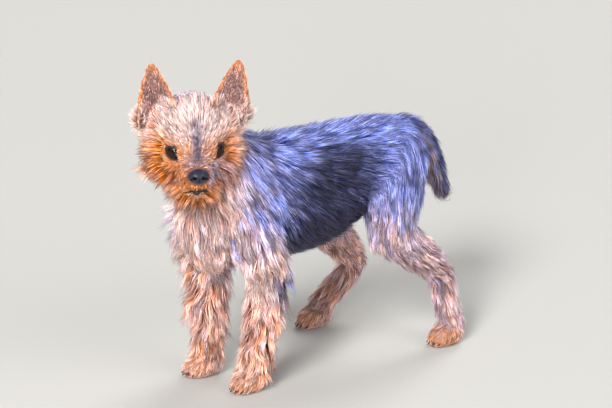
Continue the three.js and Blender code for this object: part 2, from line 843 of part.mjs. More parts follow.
// The origin is on the floor under the middle of the dog.
const dog = new THREE.Group();
parted.forEach((solid, i) => dog.add(meshOf(solid, nodes[i].name, nodes[i].colour)));
const box = new THREE.Box3().setFromObject(dog);
const middle = box.getCenter(new THREE.Vector3());
dog.position.set(-middle.x, -middle.y, -box.min.z);

export default dog;
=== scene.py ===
# %% [markdown]
# # A Yorkshire terrier, as a museum would show it
# The dog stands on all fours with its head turned to its left. Plain solids give its size and
# outline. Here they are dressed: one skin under everything, eyes, nose and lips as pieces of their
# own, and a coat of fine tapered hairs that follow the lie of a real one. The coat could be made of
# curves, but then it would be no solid, so each hair is a closed shaft. The places below are the
# dog's own, in millimetres from the floor between its fore feet, and are turned to metres at the end.

import bpy
import numpy as np
from mathutils import Matrix, Vector
from mathutils.bvhtree import BVHTree
from mathutils.kdtree import KDTree


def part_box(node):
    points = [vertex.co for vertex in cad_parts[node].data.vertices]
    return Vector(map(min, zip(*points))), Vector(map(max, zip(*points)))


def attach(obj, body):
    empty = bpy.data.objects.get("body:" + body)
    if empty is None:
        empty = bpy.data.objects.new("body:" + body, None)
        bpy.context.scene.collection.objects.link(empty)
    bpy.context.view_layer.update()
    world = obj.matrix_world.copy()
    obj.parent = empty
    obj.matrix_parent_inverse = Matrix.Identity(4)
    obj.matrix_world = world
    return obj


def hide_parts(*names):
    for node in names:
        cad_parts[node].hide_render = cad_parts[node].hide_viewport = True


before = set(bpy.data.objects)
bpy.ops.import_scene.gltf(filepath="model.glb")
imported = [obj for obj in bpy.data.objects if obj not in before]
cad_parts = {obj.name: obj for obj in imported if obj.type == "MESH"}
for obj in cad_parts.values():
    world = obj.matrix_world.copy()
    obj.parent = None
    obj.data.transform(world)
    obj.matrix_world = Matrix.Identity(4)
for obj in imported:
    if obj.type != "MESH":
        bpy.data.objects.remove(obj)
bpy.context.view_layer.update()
rng = np.random.default_rng(11)
MM = 0.001
SIDES = ((1, "left"), (-1, "right"))
print("solids", len(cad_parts))

# %% [markdown]
# The head looks to the side, while the body faces forward. Its spots could be worked out in the
# dog's frame, but a face is easier to lay out straight, so everything on the head is placed in a
# frame of its own, which is turned to the left and nods a little. The solids have their origin under
# the middle of the dog, so the shift between the two is read from the box of one eye, a plain ball.

# %% Frames of the dog and of its head
HEAD_PLACE = np.array([8.0, -38.0, 240.0])
HEAD_YAW, HEAD_NOD = 59, 11
EYE_PLACE = (16.5, -20.5, 2.0)
EYE_RADIUS = 8.5
UP = np.array([0.0, 0.0, 1.0])
DOWN = -UP

yaw, nod = np.radians(HEAD_YAW), np.radians(HEAD_NOD)
HEAD_TURN = np.array(Matrix.Rotation(yaw, 3, "Z") @ Matrix.Rotation(nod, 3, "X"))


def from_head(points):
    """Spots of the head's own frame, in the dog's."""
    return points @ HEAD_TURN.T + HEAD_PLACE


def in_head(points):
    """Spots of the dog's frame, in the head's own."""
    return (points - HEAD_PLACE) @ HEAD_TURN


def head_point(*point):
    """One spot of the head's own frame, in the dog's."""
    return HEAD_TURN @ np.array(point, float) + HEAD_PLACE


def head_way(*way):
    """A direction in the head's own frame, as one in the dog's that is 1 long."""
    way = HEAD_TURN @ np.array(way, float)
    return way / np.linalg.norm(way)


EYES = {side: head_point(side * EYE_PLACE[0], *EYE_PLACE[1:]) for side, _ in SIDES}
eye_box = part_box("eye_left")
SHIFT = np.array((eye_box[0] + eye_box[1]) / 2) / MM - EYES[1]


def place(points):
    """From the dog's millimetres to the frame's metres."""
    return (np.asarray(points, float) + SHIFT) * MM


print("shift", SHIFT.round(2))

# %% [markdown]
# The camera looks at the dog from its left front quarter and a little above, through a long lens. It
# could be aimed by a constraint. Its place is worked out instead from the angle, the distance and the
# spot of the picture where the floor between the fore feet lies, which pins down the framing.

# %% Camera
AZIMUTH, ELEVATION = np.radians(50.0), np.radians(18.6)
DISTANCE = 2300.0
SENSOR = 36.0
PICTURE = (612, 408)
FOCAL = 2525.0
FEET_AT = (223.8, 382.4)
CLIP_NEAR, CLIP_FAR = 0.05, 50

level = np.cos(ELEVATION)
back = np.array([np.sin(AZIMUTH) * level, -np.cos(AZIMUTH) * level, np.sin(ELEVATION)])
right = np.array([np.cos(AZIMUTH), np.sin(AZIMUTH), 0.0])
above = np.cross(back, right)
feet_right, feet_above = FEET_AT[0] - PICTURE[0] / 2, PICTURE[1] / 2 - FEET_AT[1]
aim = -DISTANCE / FOCAL * (feet_right * right + feet_above * above)
bpy.ops.object.camera_add()
camera = bpy.context.object
camera.data.sensor_width = SENSOR
camera.data.lens = FOCAL / PICTURE[0] * SENSOR
turned = Matrix(np.stack([right, above, back], 1)).to_4x4()
camera.matrix_world = Matrix.Translation(place(aim + DISTANCE * back)) @ turned
camera.data.clip_start, camera.data.clip_end = CLIP_NEAR, CLIP_FAR
bpy.context.scene.camera = camera
print("lens", round(camera.data.lens, 1))

# %% [markdown]
# A material is a small graph of nodes. It could be wired by hand in the shader editor. In a script,
# one function adds a node with its settings and links, and another turns the colours, which are
# written as a painter's hex values, to linear light.


# %% Helpers for materials
def linear(colour):
    """An sRGB hex colour as linear red, green, blue and one."""
    parts = [int(colour[i : i + 2], 16) / 255 for i in (0, 2, 4)]
    return tuple(c / 12.92 if c <= 0.04045 else ((c + 0.055) / 1.055) ** 2.4 for c in parts) + (1.0,)


def add_node(tree, kind, links=None, **settings):
    """Adds a node. `links` maps an input to a value, or to an output socket."""
    node = tree.nodes.new(kind)
    for name, value in settings.items():
        setattr(node, name, value)
    for name, value in (links or {}).items():
        if isinstance(value, bpy.types.NodeSocket):
            tree.links.new(value, node.inputs[name])
        else:
            node.inputs[name].default_value = value
    return node


def new_material(name):
    """An empty material with its node tree and its shader."""
    material = bpy.data.materials.new(name)
    material.use_nodes = True
    return material, material.node_tree, material.node_tree.nodes["Principled BSDF"]


print("middle grey, linear", round(linear("808080")[0], 3))

# %% [markdown]
# Most pieces start as a ball that is pulled into shape. That could be done by hand with a sculpting
# brush. Here all the spots of a piece are moved at once by a formula, which gives the same shape each
# time. An operator acts on all that is selected, so a new piece starts with nothing else selected.


# %% Helpers for pieces
def start_from(primitive, name, **settings):
    """Adds a primitive with nothing else selected, and names it."""
    bpy.ops.object.select_all(action="DESELECT")
    primitive(**settings)
    piece = bpy.context.object
    piece.name = name
    return piece


def work_on(piece):
    """Selects one piece alone and makes it the active one."""
    bpy.ops.object.select_all(action="DESELECT")
    piece.select_set(True)
    bpy.context.view_layer.objects.active = piece


def spots_of(piece):
    return np.array([v.co for v in piece.data.vertices])


def move_spots(piece, spots):
    piece.data.vertices.foreach_set("co", place(spots).ravel())
    piece.data.update()


def face_outwards():
    """Turns the faces of the active piece outwards."""
    bpy.ops.object.mode_set(mode="EDIT")
    bpy.ops.mesh.select_all(action="SELECT")
    bpy.ops.mesh.normals_make_consistent(inside=False)
    bpy.ops.object.mode_set(mode="OBJECT")


def finish_piece(piece, material, replaced=None):
    """Shades the active piece smooth, and gives it its material and its place in the frame."""
    bpy.ops.object.shade_smooth()
    piece.data.materials.append(material)
    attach(piece, "root")
    if replaced:
        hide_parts(replaced)


print("one spot, placed", place((0, 0, 0)).round(4))

# %% [markdown]
# The dog stands in a bright, even studio. Small lamps would throw hard shadows through the coat and
# make it look wiry, so the three main lights are broad suns: a key from the front above, a weaker
# fill from the dog's left, and one from behind for the rim. A small low window is there for the
# glints in the eyes and on the nose. The floor is plain and pale, and so wide that no edge shows.

# %% Floor and light
FLOOR_SIZE = 40
LAMP_DISTANCE = 1.8
LIT_SPOT = Vector((0, 0, 0.15))
SKY_STRENGTH = 0.34
LAMPS = (
    ("key", "SUN", (0.38, -0.76, 0.66), 0.35, 3.5),
    ("fill", "SUN", (1.2, 0.35, 0.75), 0.7, 1.1),
    ("rim", "SUN", (-0.5, 1.0, 1.2), 0.5, 1.7),
    ("window", "AREA", (0.6, -0.77, 0.27), 0.28, 15),
)


def floor_material():
    """Painted plaster, trowelled smooth: matt and even, so it shows nothing but soft shadows."""
    material, tree, shader = new_material("painted_plaster")
    shader.inputs["Base Color"].default_value = linear("B5B3AE")
    shader.inputs["Roughness"].default_value = 0.9
    return material


def lamp(name, kind, way, softness, strength):
    """A lamp that shines on the dog from a direction. A sun's softness is an angle, else a size."""
    way = Vector(way).normalized()
    bpy.ops.object.light_add(type=kind, location=way * LAMP_DISTANCE + LIT_SPOT)
    light = bpy.context.object
    light.name = name
    light.data.energy = strength
    setattr(light.data, "angle" if kind == "SUN" else "size", softness)
    light.rotation_euler = way.to_track_quat("Z", "Y").to_euler()
    return light


def studio():
    floor = start_from(bpy.ops.mesh.primitive_plane_add, "floor", size=FLOOR_SIZE)
    floor.data.materials.append(floor_material())
    lights = [lamp(*settings) for settings in LAMPS]
    world = bpy.data.worlds.new("studio")
    world.use_nodes = True
    sky = world.node_tree.nodes["Background"]
    sky.inputs["Color"].default_value = linear("E6E9F0")
    sky.inputs["Strength"].default_value = SKY_STRENGTH
    bpy.context.scene.world = world
    bpy.context.scene.view_settings.view_transform = "Standard"


studio()
print("lights", len(LAMPS))

# %% [markdown]
# The flesh of an animal could be sculpted from one lump. It is easier to measure as lengths: a line
# of stations, each with a half width, a half depth and a third number for how deep the coat stands
# there. The same lengths later tell every hair which way the body runs under it.


# %% Lengths of flesh
def smooth(values, t):
    """A smooth curve through the rows of `values`, read at shares t of its length."""
    values = np.asarray(values, float)
    last = len(values) - 1
    s = np.clip(t, 0, 1) * last
    i = np.minimum(s.astype(int), last - 1)
    w = (s - i)[:, None]
    padded = np.concatenate([[2 * values[0] - values[1]], values, [2 * values[-1] - values[-2]]])
    a, b, c, d = (padded[i + k] for k in range(4))
    return 0.5 * (
        2 * b + (c - a) * w + (2 * a - 5 * b + 4 * c - d) * w**2 + (3 * b - a - 3 * c + d) * w**3
    )


def unit(vectors):
    return vectors / np.maximum(np.linalg.norm(vectors, axis=-1, keepdims=True), 1e-9)


class Flesh:
    """A length of flesh. A station is x, y, z, half width, half depth, coat depth."""

    def __init__(self, stations, dome=0.75, head=False):
        self.stations = np.array(stations, float)
        self.side = np.array([1.0, 0.0, 0.0])
        if head:
            self.stations[:, :3] = from_head(self.stations[:, :3])
            self.side = HEAD_TURN @ self.side
        self.dome = dome

    def sections(self, t):
        """Centres, ways along, across and up, and sizes, at shares t of the length."""
        step = 0.01
        centre = smooth(self.stations[:, :3], t)
        ahead = smooth(self.stations[:, :3], np.minimum(t + step, 1))
        behind = smooth(self.stations[:, :3], np.maximum(t - step, 0))
        along = unit(ahead - behind)
        across = unit(self.side - along * (along @ self.side)[:, None])
        up = np.cross(across, along)
        return centre, along, across, up, smooth(self.stations[:, 3:], t)

    def mesh(self, name, segments=20, rings=22):
        """The skin of this length: a ball drawn out along the line."""
        sizes = {"segments": segments, "ring_count": rings}
        ball = start_from(bpy.ops.mesh.primitive_uv_sphere_add, name, **sizes)
        spots = spots_of(ball)
        share = np.arccos(np.clip(spots[:, 2], -1, 1)) / np.pi
        turn = np.arctan2(spots[:, 1], spots[:, 0])
        cap = 0.18
        t = np.clip((share - cap) / (1 - 2 * cap), 0, 1)
        past = np.clip((cap - share) / cap, 0, 1) - np.clip((share - 1 + cap) / cap, 0, 1)
        centre, along, across, up, sizes = self.sections(t)
        half, deep = sizes[:, 0], sizes[:, 1]
        angle = past * np.pi / 2
        reach = self.dome * 0.5 * (half + deep)
        spots = (
            centre
            - along * (reach * np.sin(angle))[:, None]
            + across * (half * np.cos(angle) * np.cos(turn))[:, None]
            + up * (deep * np.cos(angle) * np.sin(turn))[:, None]
        )
        move_spots(ball, spots)
        return ball

    def nearest(self, points, count=13):
        """For many points: the gap outside the skin, the share t, the angle round, the ways there."""
        ts = np.linspace(0, 1, count)
        centre, along, across, up, sizes = self.sections(ts)
        off = points[:, None] - centre
        x = (off * across).sum(-1) / sizes[:, 0]
        y = (off * up).sum(-1) / sizes[:, 1]
        z = (off * along).sum(-1) / (self.dome * 0.5 * (sizes[:, 0] + sizes[:, 1]))
        ratio = np.sqrt(x**2 + y**2 + z**2)
        j = ratio.argmin(1)
        rows = np.arange(len(points))
        r = ratio[rows, j]
        gap = (r - 1) / np.maximum(r, 0.2) * np.linalg.norm(off[rows, j], axis=1)
        turn = np.arctan2(y[rows, j], x[rows, j])
        return gap, ts[j], turn, along[j], across[j], up[j], sizes[j, 2]


print("a smooth curve half way", smooth([[0], [1], [4]], np.array([0.5]))[0])

# %% [markdown]
# The trunk, the neck and the tail are measured off the side of the dog. Each could be a stretched
# ball, but a few stations show the deep chest, the tuck of the loin and the arc of the tail. The
# trunk's sizes follow from the height at the withers, the width of the ribs and the depth of chest.

# %% Stations of the body
WITHERS, TRUNK_WIDTH, CHEST_DEPTH = 219, 84, 102
BACK, RIB, DEEP = WITHERS - CHEST_DEPTH / 2, TRUNK_WIDTH / 2, CHEST_DEPTH / 2
TORSO = [
    (0, -14, BACK - 9, RIB * 0.62, DEEP * 0.62, 12),
    (0, 12, BACK - 5, RIB * 0.88, DEEP * 0.86, 12),
    (0, 50, BACK, RIB * 0.98, DEEP, 11),
    (0, 95, BACK - 1, RIB, DEEP, 11),
    (0, 135, BACK + 6, RIB * 0.92, DEEP * 0.84, 10),
    (0, 170, BACK + 11, RIB * 0.84, DEEP * 0.7, 9),
    (0, 203, BACK + 9, RIB * 0.76, DEEP * 0.64, 8),
]
TAIL = [
    (0, 196, 200, 9, 9, 7),
    (0, 222, 201, 7.5, 7.5, 7),
    (0, 243, 184, 6.5, 7, 8),
    (0, 258, 156, 5, 5.5, 8),
    (0, 270, 128, 3, 3, 7),
]
flesh = {
    "torso": Flesh(TORSO),
    "chest": Flesh([(0, -14, 186, 20, 15, 12), (0, -20, 160, 24, 17, 12), (0, -14, 134, 20, 14, 13)]),
    "neck": Flesh(
        [
            (0, 34, 184, 32, 38, 12),
            (-2, 10, 203, 27, 31, 13),
            (-6, -12, 222, 24, 26, 13),
            (-5, -26, 234, 22, 24, 12),
        ]
    ),
    "tail": Flesh(TAIL),
}
print("torso length", TORSO[-1][1] - TORSO[0][1])

# %% [markdown]
# A fore leg is an upper arm, a forearm and a paw, and a hind leg a thigh, a shank, a hock and a paw.
# A left leg could be mirrored to the right, but the dog is in mid stride, so each leg is worked out
# from where its own joints and foot stand. The right hind leg is a step further forward.

# %% Stations of the legs
STANCE = 57 / 2


def fore_leg(name, sign, foot):
    x = sign * STANCE
    elbow = (x + sign * 7, foot + 15, 112)
    flesh[f"upper_arm_{name}"] = Flesh(
        [
            (sign * 27, 6, 158, 15, 24, 9),
            (x + sign * 4, foot + 7, 136, 14, 20, 11),
            (*elbow, 11, 14, 13),
        ]
    )
    flesh[f"forearm_{name}"] = Flesh(
        [
            (elbow[0] - sign, elbow[1] - 1, elbow[2] - 12, 10, 12, 13),
            (x + sign * 4, foot + 10, 72, 9, 10.5, 12),
            (x + sign, foot + 6, 38, 8, 9, 11),
            (x, foot + 2, 22, 8.5, 9, 9),
        ]
    )
    flesh[f"paw_front_{name}"] = Flesh(
        [(x, foot + 9, 9, 10, 8, 4), (x, foot - 3, 9, 12, 8.5, 4), (x + sign, foot - 13, 7, 9.5, 6.5, 3)]
    )


def hind_leg(name, sign, knee, hock, foot):
    knee, hock = np.array(knee), np.array(hock)
    shin = (knee + hock) / 2
    flesh[f"thigh_{name}"] = Flesh(
        [
            (sign * 20, 196, 184, 20, 26, 8),
            ((sign * 24 + knee[0]) / 2, (192 + knee[1]) / 2, 180 + 0.4 * (knee[2] - 180), 19, 30, 9),
            (knee[0], knee[1] + 6, knee[2] + 4, 14, 20, 10),
        ]
    )
    flesh[f"shank_{name}"] = Flesh(
        [
            (knee[0], knee[1] + 3, knee[2] - 4, 12.5, 17, 10),
            (shin[0], shin[1] + 2, shin[2], 10, 13, 11),
            (hock[0], hock[1] - 3, hock[2] + 4, 7.5, 9, 9),
        ]
    )
    flesh[f"hock_{name}"] = Flesh(
        [
            (hock[0], hock[1] + 2, hock[2] - 3, 7.5, 9, 8),
            ((hock[0] + foot[0]) / 2, (hock[1] + foot[1]) / 2 + 3, (hock[2] + 12) / 2, 7, 8, 8),
            (foot[0], foot[1] + 6, 20, 8, 8.5, 7),
        ]
    )
    flesh[f"paw_hind_{name}"] = Flesh(
        [
            (foot[0], foot[1] + 8, 9, 9.5, 8, 4),
            (foot[0], foot[1] - 3, 9, 11.5, 8.5, 4),
            (foot[0], foot[1] - 12, 7, 9, 6.5, 3),
        ]
    )


fore_leg("left", 1, 8)
fore_leg("right", -1, -1)
hind_leg("left", 1, (44, 156, 124), (51, 218, 70), (59, 221))
hind_leg("right", -1, (-40, 146, 116), (-52, 201, 60), (-56, 155))
print("lengths of flesh", len(flesh))

# %% [markdown]
# The head could be one ball with dents. Seven short lengths give more hold on its shape: the skull,
# the muzzle, the jaw, two cheeks and two temples, from which the tufts beside the ears spring.

# %% Stations of the head
EYE_LINE = -24
NOSE_TIP = -52
SKULL = 30
flesh["skull"] = Flesh(
    [
        (0, -25, 3, SKULL * 0.66, 17, 7),
        (0, -14, 8, SKULL * 0.95, 24, 10),
        (0, 4, 9, SKULL, 26, 12),
        (0, 20, 5, SKULL * 0.85, 23, 12),
    ],
    head=True,
)
flesh["muzzle"] = Flesh(
    [
        (0, NOSE_TIP + 9, -16, 10, 10, 3),
        (0, NOSE_TIP + 18, -15, 13, 12.5, 5),
        (0, EYE_LINE + 4, -12, 16, 15, 6),
        (0, EYE_LINE + 16, -8, 19, 17, 8),
    ],
    dome=0.5,
    head=True,
)
flesh["jaw"] = Flesh(
    [
        (0, NOSE_TIP + 12, -33, 8.5, 5.5, 8),
        (0, EYE_LINE, -34, 13, 8, 9),
        (0, EYE_LINE + 20, -27, 19, 12, 9),
    ],
    dome=0.6,
    head=True,
)
for side, name in SIDES:
    flesh[f"cheek_{name}"] = Flesh(
        [
            (side * 17, -17, -13, 9, 10, 7),
            (side * 22, -5, -9, 13, 16, 13),
            (side * 22, 8, -4, 12, 17, 15),
        ],
        head=True,
    )
    flesh[f"temple_{name}"] = Flesh(
        [
            (side * 22, -8, 8, 9, 9, 8),
            (side * 30, 3, 14, 10, 12, 8),
            (side * 30, 13, 12, 9, 11, 8),
        ],
        head=True,
    )
HEAD_PARTS = ("skull", "muzzle", "jaw", "cheek_left", "cheek_right", "temple_left", "temple_right")

print("parts of the head", len(HEAD_PARTS))

# %% [markdown]
# An ear is a thin leaf, cupped towards the front and pricked, as this breed's are. It could be drawn
# as an outline and thickened. A slab of many small faces is bent instead, since one formula can then
# say both where the leaf is and, later, which hair grows on it.

# %% Ears
EAR_HEIGHT, EAR_WIDTH = 48.5, 35
EAR_ROOT = (29, 8, 22)
EAR_TIPS = {1: 41, -1: 35}
EAR_CUTS = 15


def ear_curve(level):
    """The leaf's half width, the half angle of its cup and the cup's radius, from base to tip."""
    wide = 1.3 + EAR_WIDTH / 2 * (1 - level**1.3) ** 0.8
    cup = np.radians(75 - 40 * level)
    return wide, cup, wide / np.sin(cup)


def ear_point(side, across, up, face):
    """A spot of an ear: across from -1 to 1, up from 0 to 1, and face from 0 (inside) to 1."""
    wide, cup, radius = ear_curve(np.clip(up, 0, 1))
    r = radius + (face - 0.5) * (3.0 - 1.0 * np.abs(across))
    x = EAR_ROOT[0] + (EAR_TIPS[side] - EAR_ROOT[0]) * up + r * np.sin(across * cup)
    y = EAR_ROOT[1] + 2 * up - (radius - r * np.cos(across * cup)) + (radius - wide) * 0.2
    z = EAR_ROOT[2] + EAR_HEIGHT * up
    return from_head(np.stack([side * x, y, z], -1))


def ear(side, name):
    slab = start_from(bpy.ops.mesh.primitive_cube_add, name, size=1)
    bpy.ops.object.mode_set(mode="EDIT")
    bpy.ops.mesh.select_all(action="SELECT")
    bpy.ops.mesh.subdivide(number_cuts=EAR_CUTS)
    bpy.ops.object.mode_set(mode="OBJECT")
    spots = spots_of(slab) + 0.5
    move_spots(slab, ear_point(side, 2 * spots[:, 0] - 1, 1.12 * spots[:, 1] - 0.12, spots[:, 2]))
    return slab


print("ear tip", ear_point(1, 0.0, 1.0, 0.5).round(1))

# %% [markdown]
# A living skin has no seams. The lengths could be joined by Boolean unions, but those leave creases.
# Voxel remeshing melts them into a single surface, and a few rounds of smoothing blend the legs into
# the trunk, as muscle does. A ball a little larger than each eye makes the flesh of the lids.

# %% The skin
VOXEL = 1.35 * MM
SKIN_FACES = 90_000
LID_DEPTH = 1.0


def apply_modifiers(piece):
    work_on(piece)
    for modifier in list(piece.modifiers):
        bpy.ops.object.modifier_apply(modifier=modifier.name)


def make_skin():
    parts = [form.mesh(name) for name, form in flesh.items()]
    parts += [ear(side, f"ear_{name}_skin") for side, name in SIDES]
    for side, name in SIDES:
        lids = {"radius": (EYE_RADIUS + LID_DEPTH) * MM, "location": place(EYES[side])}
        parts.append(start_from(bpy.ops.mesh.primitive_uv_sphere_add, f"lids_{name}", **lids))
    work_on(parts[0])
    for part in parts:
        part.select_set(True)
    bpy.ops.object.transform_apply(location=True, rotation=True, scale=True)
    bpy.ops.object.join()
    skin = bpy.context.object
    skin.name = "skin"
    remesh = skin.modifiers.new("one_surface", "REMESH")
    remesh.mode = "VOXEL"
    remesh.voxel_size = VOXEL
    soften = skin.modifiers.new("soften", "SMOOTH")
    soften.factor = 0.6
    soften.iterations = 5
    apply_modifiers(skin)
    thin = skin.modifiers.new("thin_out", "DECIMATE")
    thin.ratio = min(1.0, SKIN_FACES / (2 * len(skin.data.polygons)))
    apply_modifiers(skin)
    return skin


skin = make_skin()
print("skin faces", len(skin.data.polygons))

# %% [markdown]
# The opening between the lids is an almond on the front of each eyeball. It could be cut out, but a
# cut edge would have to be stitched again. Every spot of skin that lies inside the almond, seen from
# the middle of the eye, is sunk below the surface of the ball instead, and the skin round it is drawn
# close, so that the lids lie on the eye.

# %% Eye openings
OPENING = (7.4, 5.6)
SLANT = -0.12
FAR = 9.0
EDGE, EDGE_SOFT = 1.12, 0.24
LID_HEIGHT, SUNK_BY = 0.9, 3.4
LID_REACH, LID_PULL, LID_GAP = 1.9, 0.45, 1.2
GAZE = {side: head_way(side * 0.36, -0.93, 0) for side, _ in SIDES}


def eye_axes(side):
    """The ways across the eye, up it and out of it."""
    gaze = GAZE[side]
    across = unit(np.cross(gaze, head_way(0, 0, 1)))
    return across, np.cross(across, gaze), gaze


def in_opening(points, side, size=1.0):
    """How far inside the almond each point is: under 1 is inside."""
    across, up, gaze = eye_axes(side)
    off = points - EYES[side]
    ahead = off @ gaze
    flat = EYE_RADIUS * off / np.maximum(np.linalg.norm(off, axis=1, keepdims=True), 1e-6)
    x, y = flat @ across, flat @ up
    y = y - SLANT * side * x
    r = np.hypot(x / (OPENING[0] * size), y / (OPENING[1] * size))
    near = np.linalg.norm(off, axis=1) < 1.5 * EYE_RADIUS
    return np.where((ahead > 0) & near, r, FAR)


def skin_points():
    """All spots of the skin, in the dog's millimetres."""
    spots = np.empty(len(skin.data.vertices) * 3, np.float64)
    skin.data.vertices.foreach_get("co", spots)
    return spots.reshape(-1, 3) / MM - SHIFT


spots = skin_points()
for side, _ in SIDES:
    inside = in_opening(spots, side)
    off = spots - EYES[side]
    long = np.linalg.norm(off, axis=1)
    sunk = np.clip((EDGE - inside) / EDGE_SOFT, 0, 1)
    ring = np.clip((LID_REACH - inside) / 0.8, 0, 1) * (long > EYE_RADIUS)
    behind = EYE_RADIUS + LID_HEIGHT - SUNK_BY * sunk
    beside = long - ring * LID_PULL * (long - EYE_RADIUS - LID_GAP)
    target = np.where(inside < EDGE, behind, beside)
    spots = EYES[side] + off * (target / np.maximum(long, 1e-6))[:, None]
print("spots between the lids", int((in_opening(spots, 1) < 1).sum()))

# %% [markdown]
# The closed mouth is a short line that droops at its corners. It could be modelled as a slit, but the
# hair would hide that, so a shallow groove is pressed into the skin along the line. The soles are
# pressed flat on the floor at the same time.

# %% Line of the mouth
MOUTH = np.array([(10, -37.5, -32), (5.5, -41.5, -28.5), (0, -43.5, -26.8)])
MOUTH = np.concatenate([MOUTH, MOUTH[-2::-1] * (-1, 1, 1)])
MOUTH_REACH = 35
GROOVE = 2.2
mouth_line = from_head(smooth(MOUTH, np.linspace(0, 1, 60)))


def from_mouth(points):
    return np.linalg.norm(points[:, None] - mouth_line, axis=2).min(1)


def by_mouth(points):
    """The rows of the points that lie near enough to the mouth to be asked."""
    return np.where(np.linalg.norm(points - head_point(0, -30, -27), axis=1) < MOUTH_REACH)[0]


near = by_mouth(spots)
groove = np.clip(1 - from_mouth(spots[near]) / GROOVE, 0, 1)
spots[near] += head_way(0, 1, 0) * (GROOVE * groove)[:, None]
spots[:, 2] = np.maximum(spots[:, 2], 0.0)
move_spots(skin, spots)
print("mouth spots", int((groove > 0).sum()))

# %% [markdown]
# The coat lies differently on each part of the body. It could be combed by hand. Here each length of
# flesh says how its hair lies: the way it runs, its length, how steeply it rises from the skin, how
# much it sinks with its weight, how high it may stand, how much it waves, and how closely its locks
# hold together. Every one of these functions hands back those seven values in that order.

# %% Lie of the coat on each part
NOSE = head_point(0, NOSE_TIP + 6, -6)
FIELDS = ("length", "rise", "drop", "loft", "curl", "clump", "coat")


def step(value, low, high):
    """A soft step from 0 at low to 1 at high."""
    s = np.clip((value - low) / (high - low), 0, 1)
    return s * s * (3 - 2 * s)


def bump(value, middle, width):
    return np.exp(-(((value - middle) / width) ** 2))


def tangent(ways, normals):
    return unit(ways - normals * (ways * normals).sum(-1, keepdims=True))


def lie_torso(points, t, turn, along, across, up):
    """Back along the spine, and more and more down on the flanks and shoulders."""
    side = np.abs(np.cos(turn))
    rear = np.clip(3 * points[:, 1] / TORSO[-1][1], 0, 1)
    fall = ((0.85 - 0.55 * rear) * (0.35 + 0.65 * side))[:, None]
    return along * (1 - fall) + DOWN * fall, 26, 0.16, 0.35 * side, 1.5, 1.1, 0.3


def lie_chest(points, t, turn, along, across, up):
    way = np.tile([0.0, 0.1, -1.0], (len(points), 1)) + 0.3 * across * np.cos(turn)[:, None]
    return way, 36, 0.34, 0.25, 6, 3.6, 0.7


def lie_neck(points, t, turn, along, across, up):
    throat = step(np.sin(turn), -0.2, 0.6)
    way = -0.7 * along + 0.9 * DOWN
    return way, 30, 0.25, 0.35, 2 + 4 * throat, 1.2 + 1.2 * throat, 0.35 + 0.25 * throat


def lie_tail(points, t, turn, along, across, up):
    under = np.clip(-np.sin(turn), 0, 1)
    way = 0.85 * along + 0.15 * DOWN - 0.25 * up * under[:, None]
    return way, 25 + 11 * under, 0.16 + 0.28 * under, 0.25, 2 + 3.5 * under, 1.2, 0.45


def lie_upper_arm(points, t, turn, along, across, up):
    behind = np.clip(np.sin(turn), 0, 1)
    return 0.7 * along + 0.3 * DOWN, 35, 0.3 + 0.3 * behind, 0.15, 3 + 6 * behind, 4.8, 0.7


def lie_lower_leg(points, t, turn, along, across, up):
    behind = np.clip(np.sin(turn) * 1.3, 0, 1)
    length = (32 - 11 * t) * (0.85 + 0.45 * behind)
    return along, length, 0.25 + 0.4 * behind, 0.15 - 0.5 * behind, 2.5 + 8 * behind, 5.2, 0.7


def lie_hind_leg(points, t, turn, along, across, up):
    way, length, rise, drop, loft, curl, clump = lie_lower_leg(points, t, turn, along, across, up)
    return way, 0.78 * length, 0.4 * rise + 0.05, 0.4 * drop + 0.05, 0.4 * loft, 0.6 * curl, 0.85 * clump


def lie_thigh(points, t, turn, along, across, up):
    return 0.7 * along + 0.3 * DOWN, 28, 0.18, 0.3, 2.0, 1.4 + 0.8 * t, 0.35 + 0.2 * t


def lie_paw(points, t, turn, along, across, up):
    return np.tile([0.0, -0.75, -0.65], (len(points), 1)), 9, 0.2, 0.3, 1.5, 0.8, 0.4


LIES = {
    "torso": lie_torso,
    "chest": lie_chest,
    "neck": lie_neck,
    "tail": lie_tail,
    "upper_arm": lie_upper_arm,
    "forearm": lie_lower_leg,
    "shank": lie_hind_leg,
    "hock": lie_hind_leg,
    "thigh": lie_thigh,
    "paw": lie_paw,
}
print("lies", len(LIES))

# %% [markdown]
# On the head the hair turns round the nose: it runs back over the bridge, fans up over the brows and
# out over the cheeks, and hangs from the muzzle as a moustache and from the chin as a beard. Beside
# each ear it stands out in a long pale tuft. These areas run across the lengths of flesh, so they
# are told apart by their place in the head's own frame, with soft steps from one to the next.


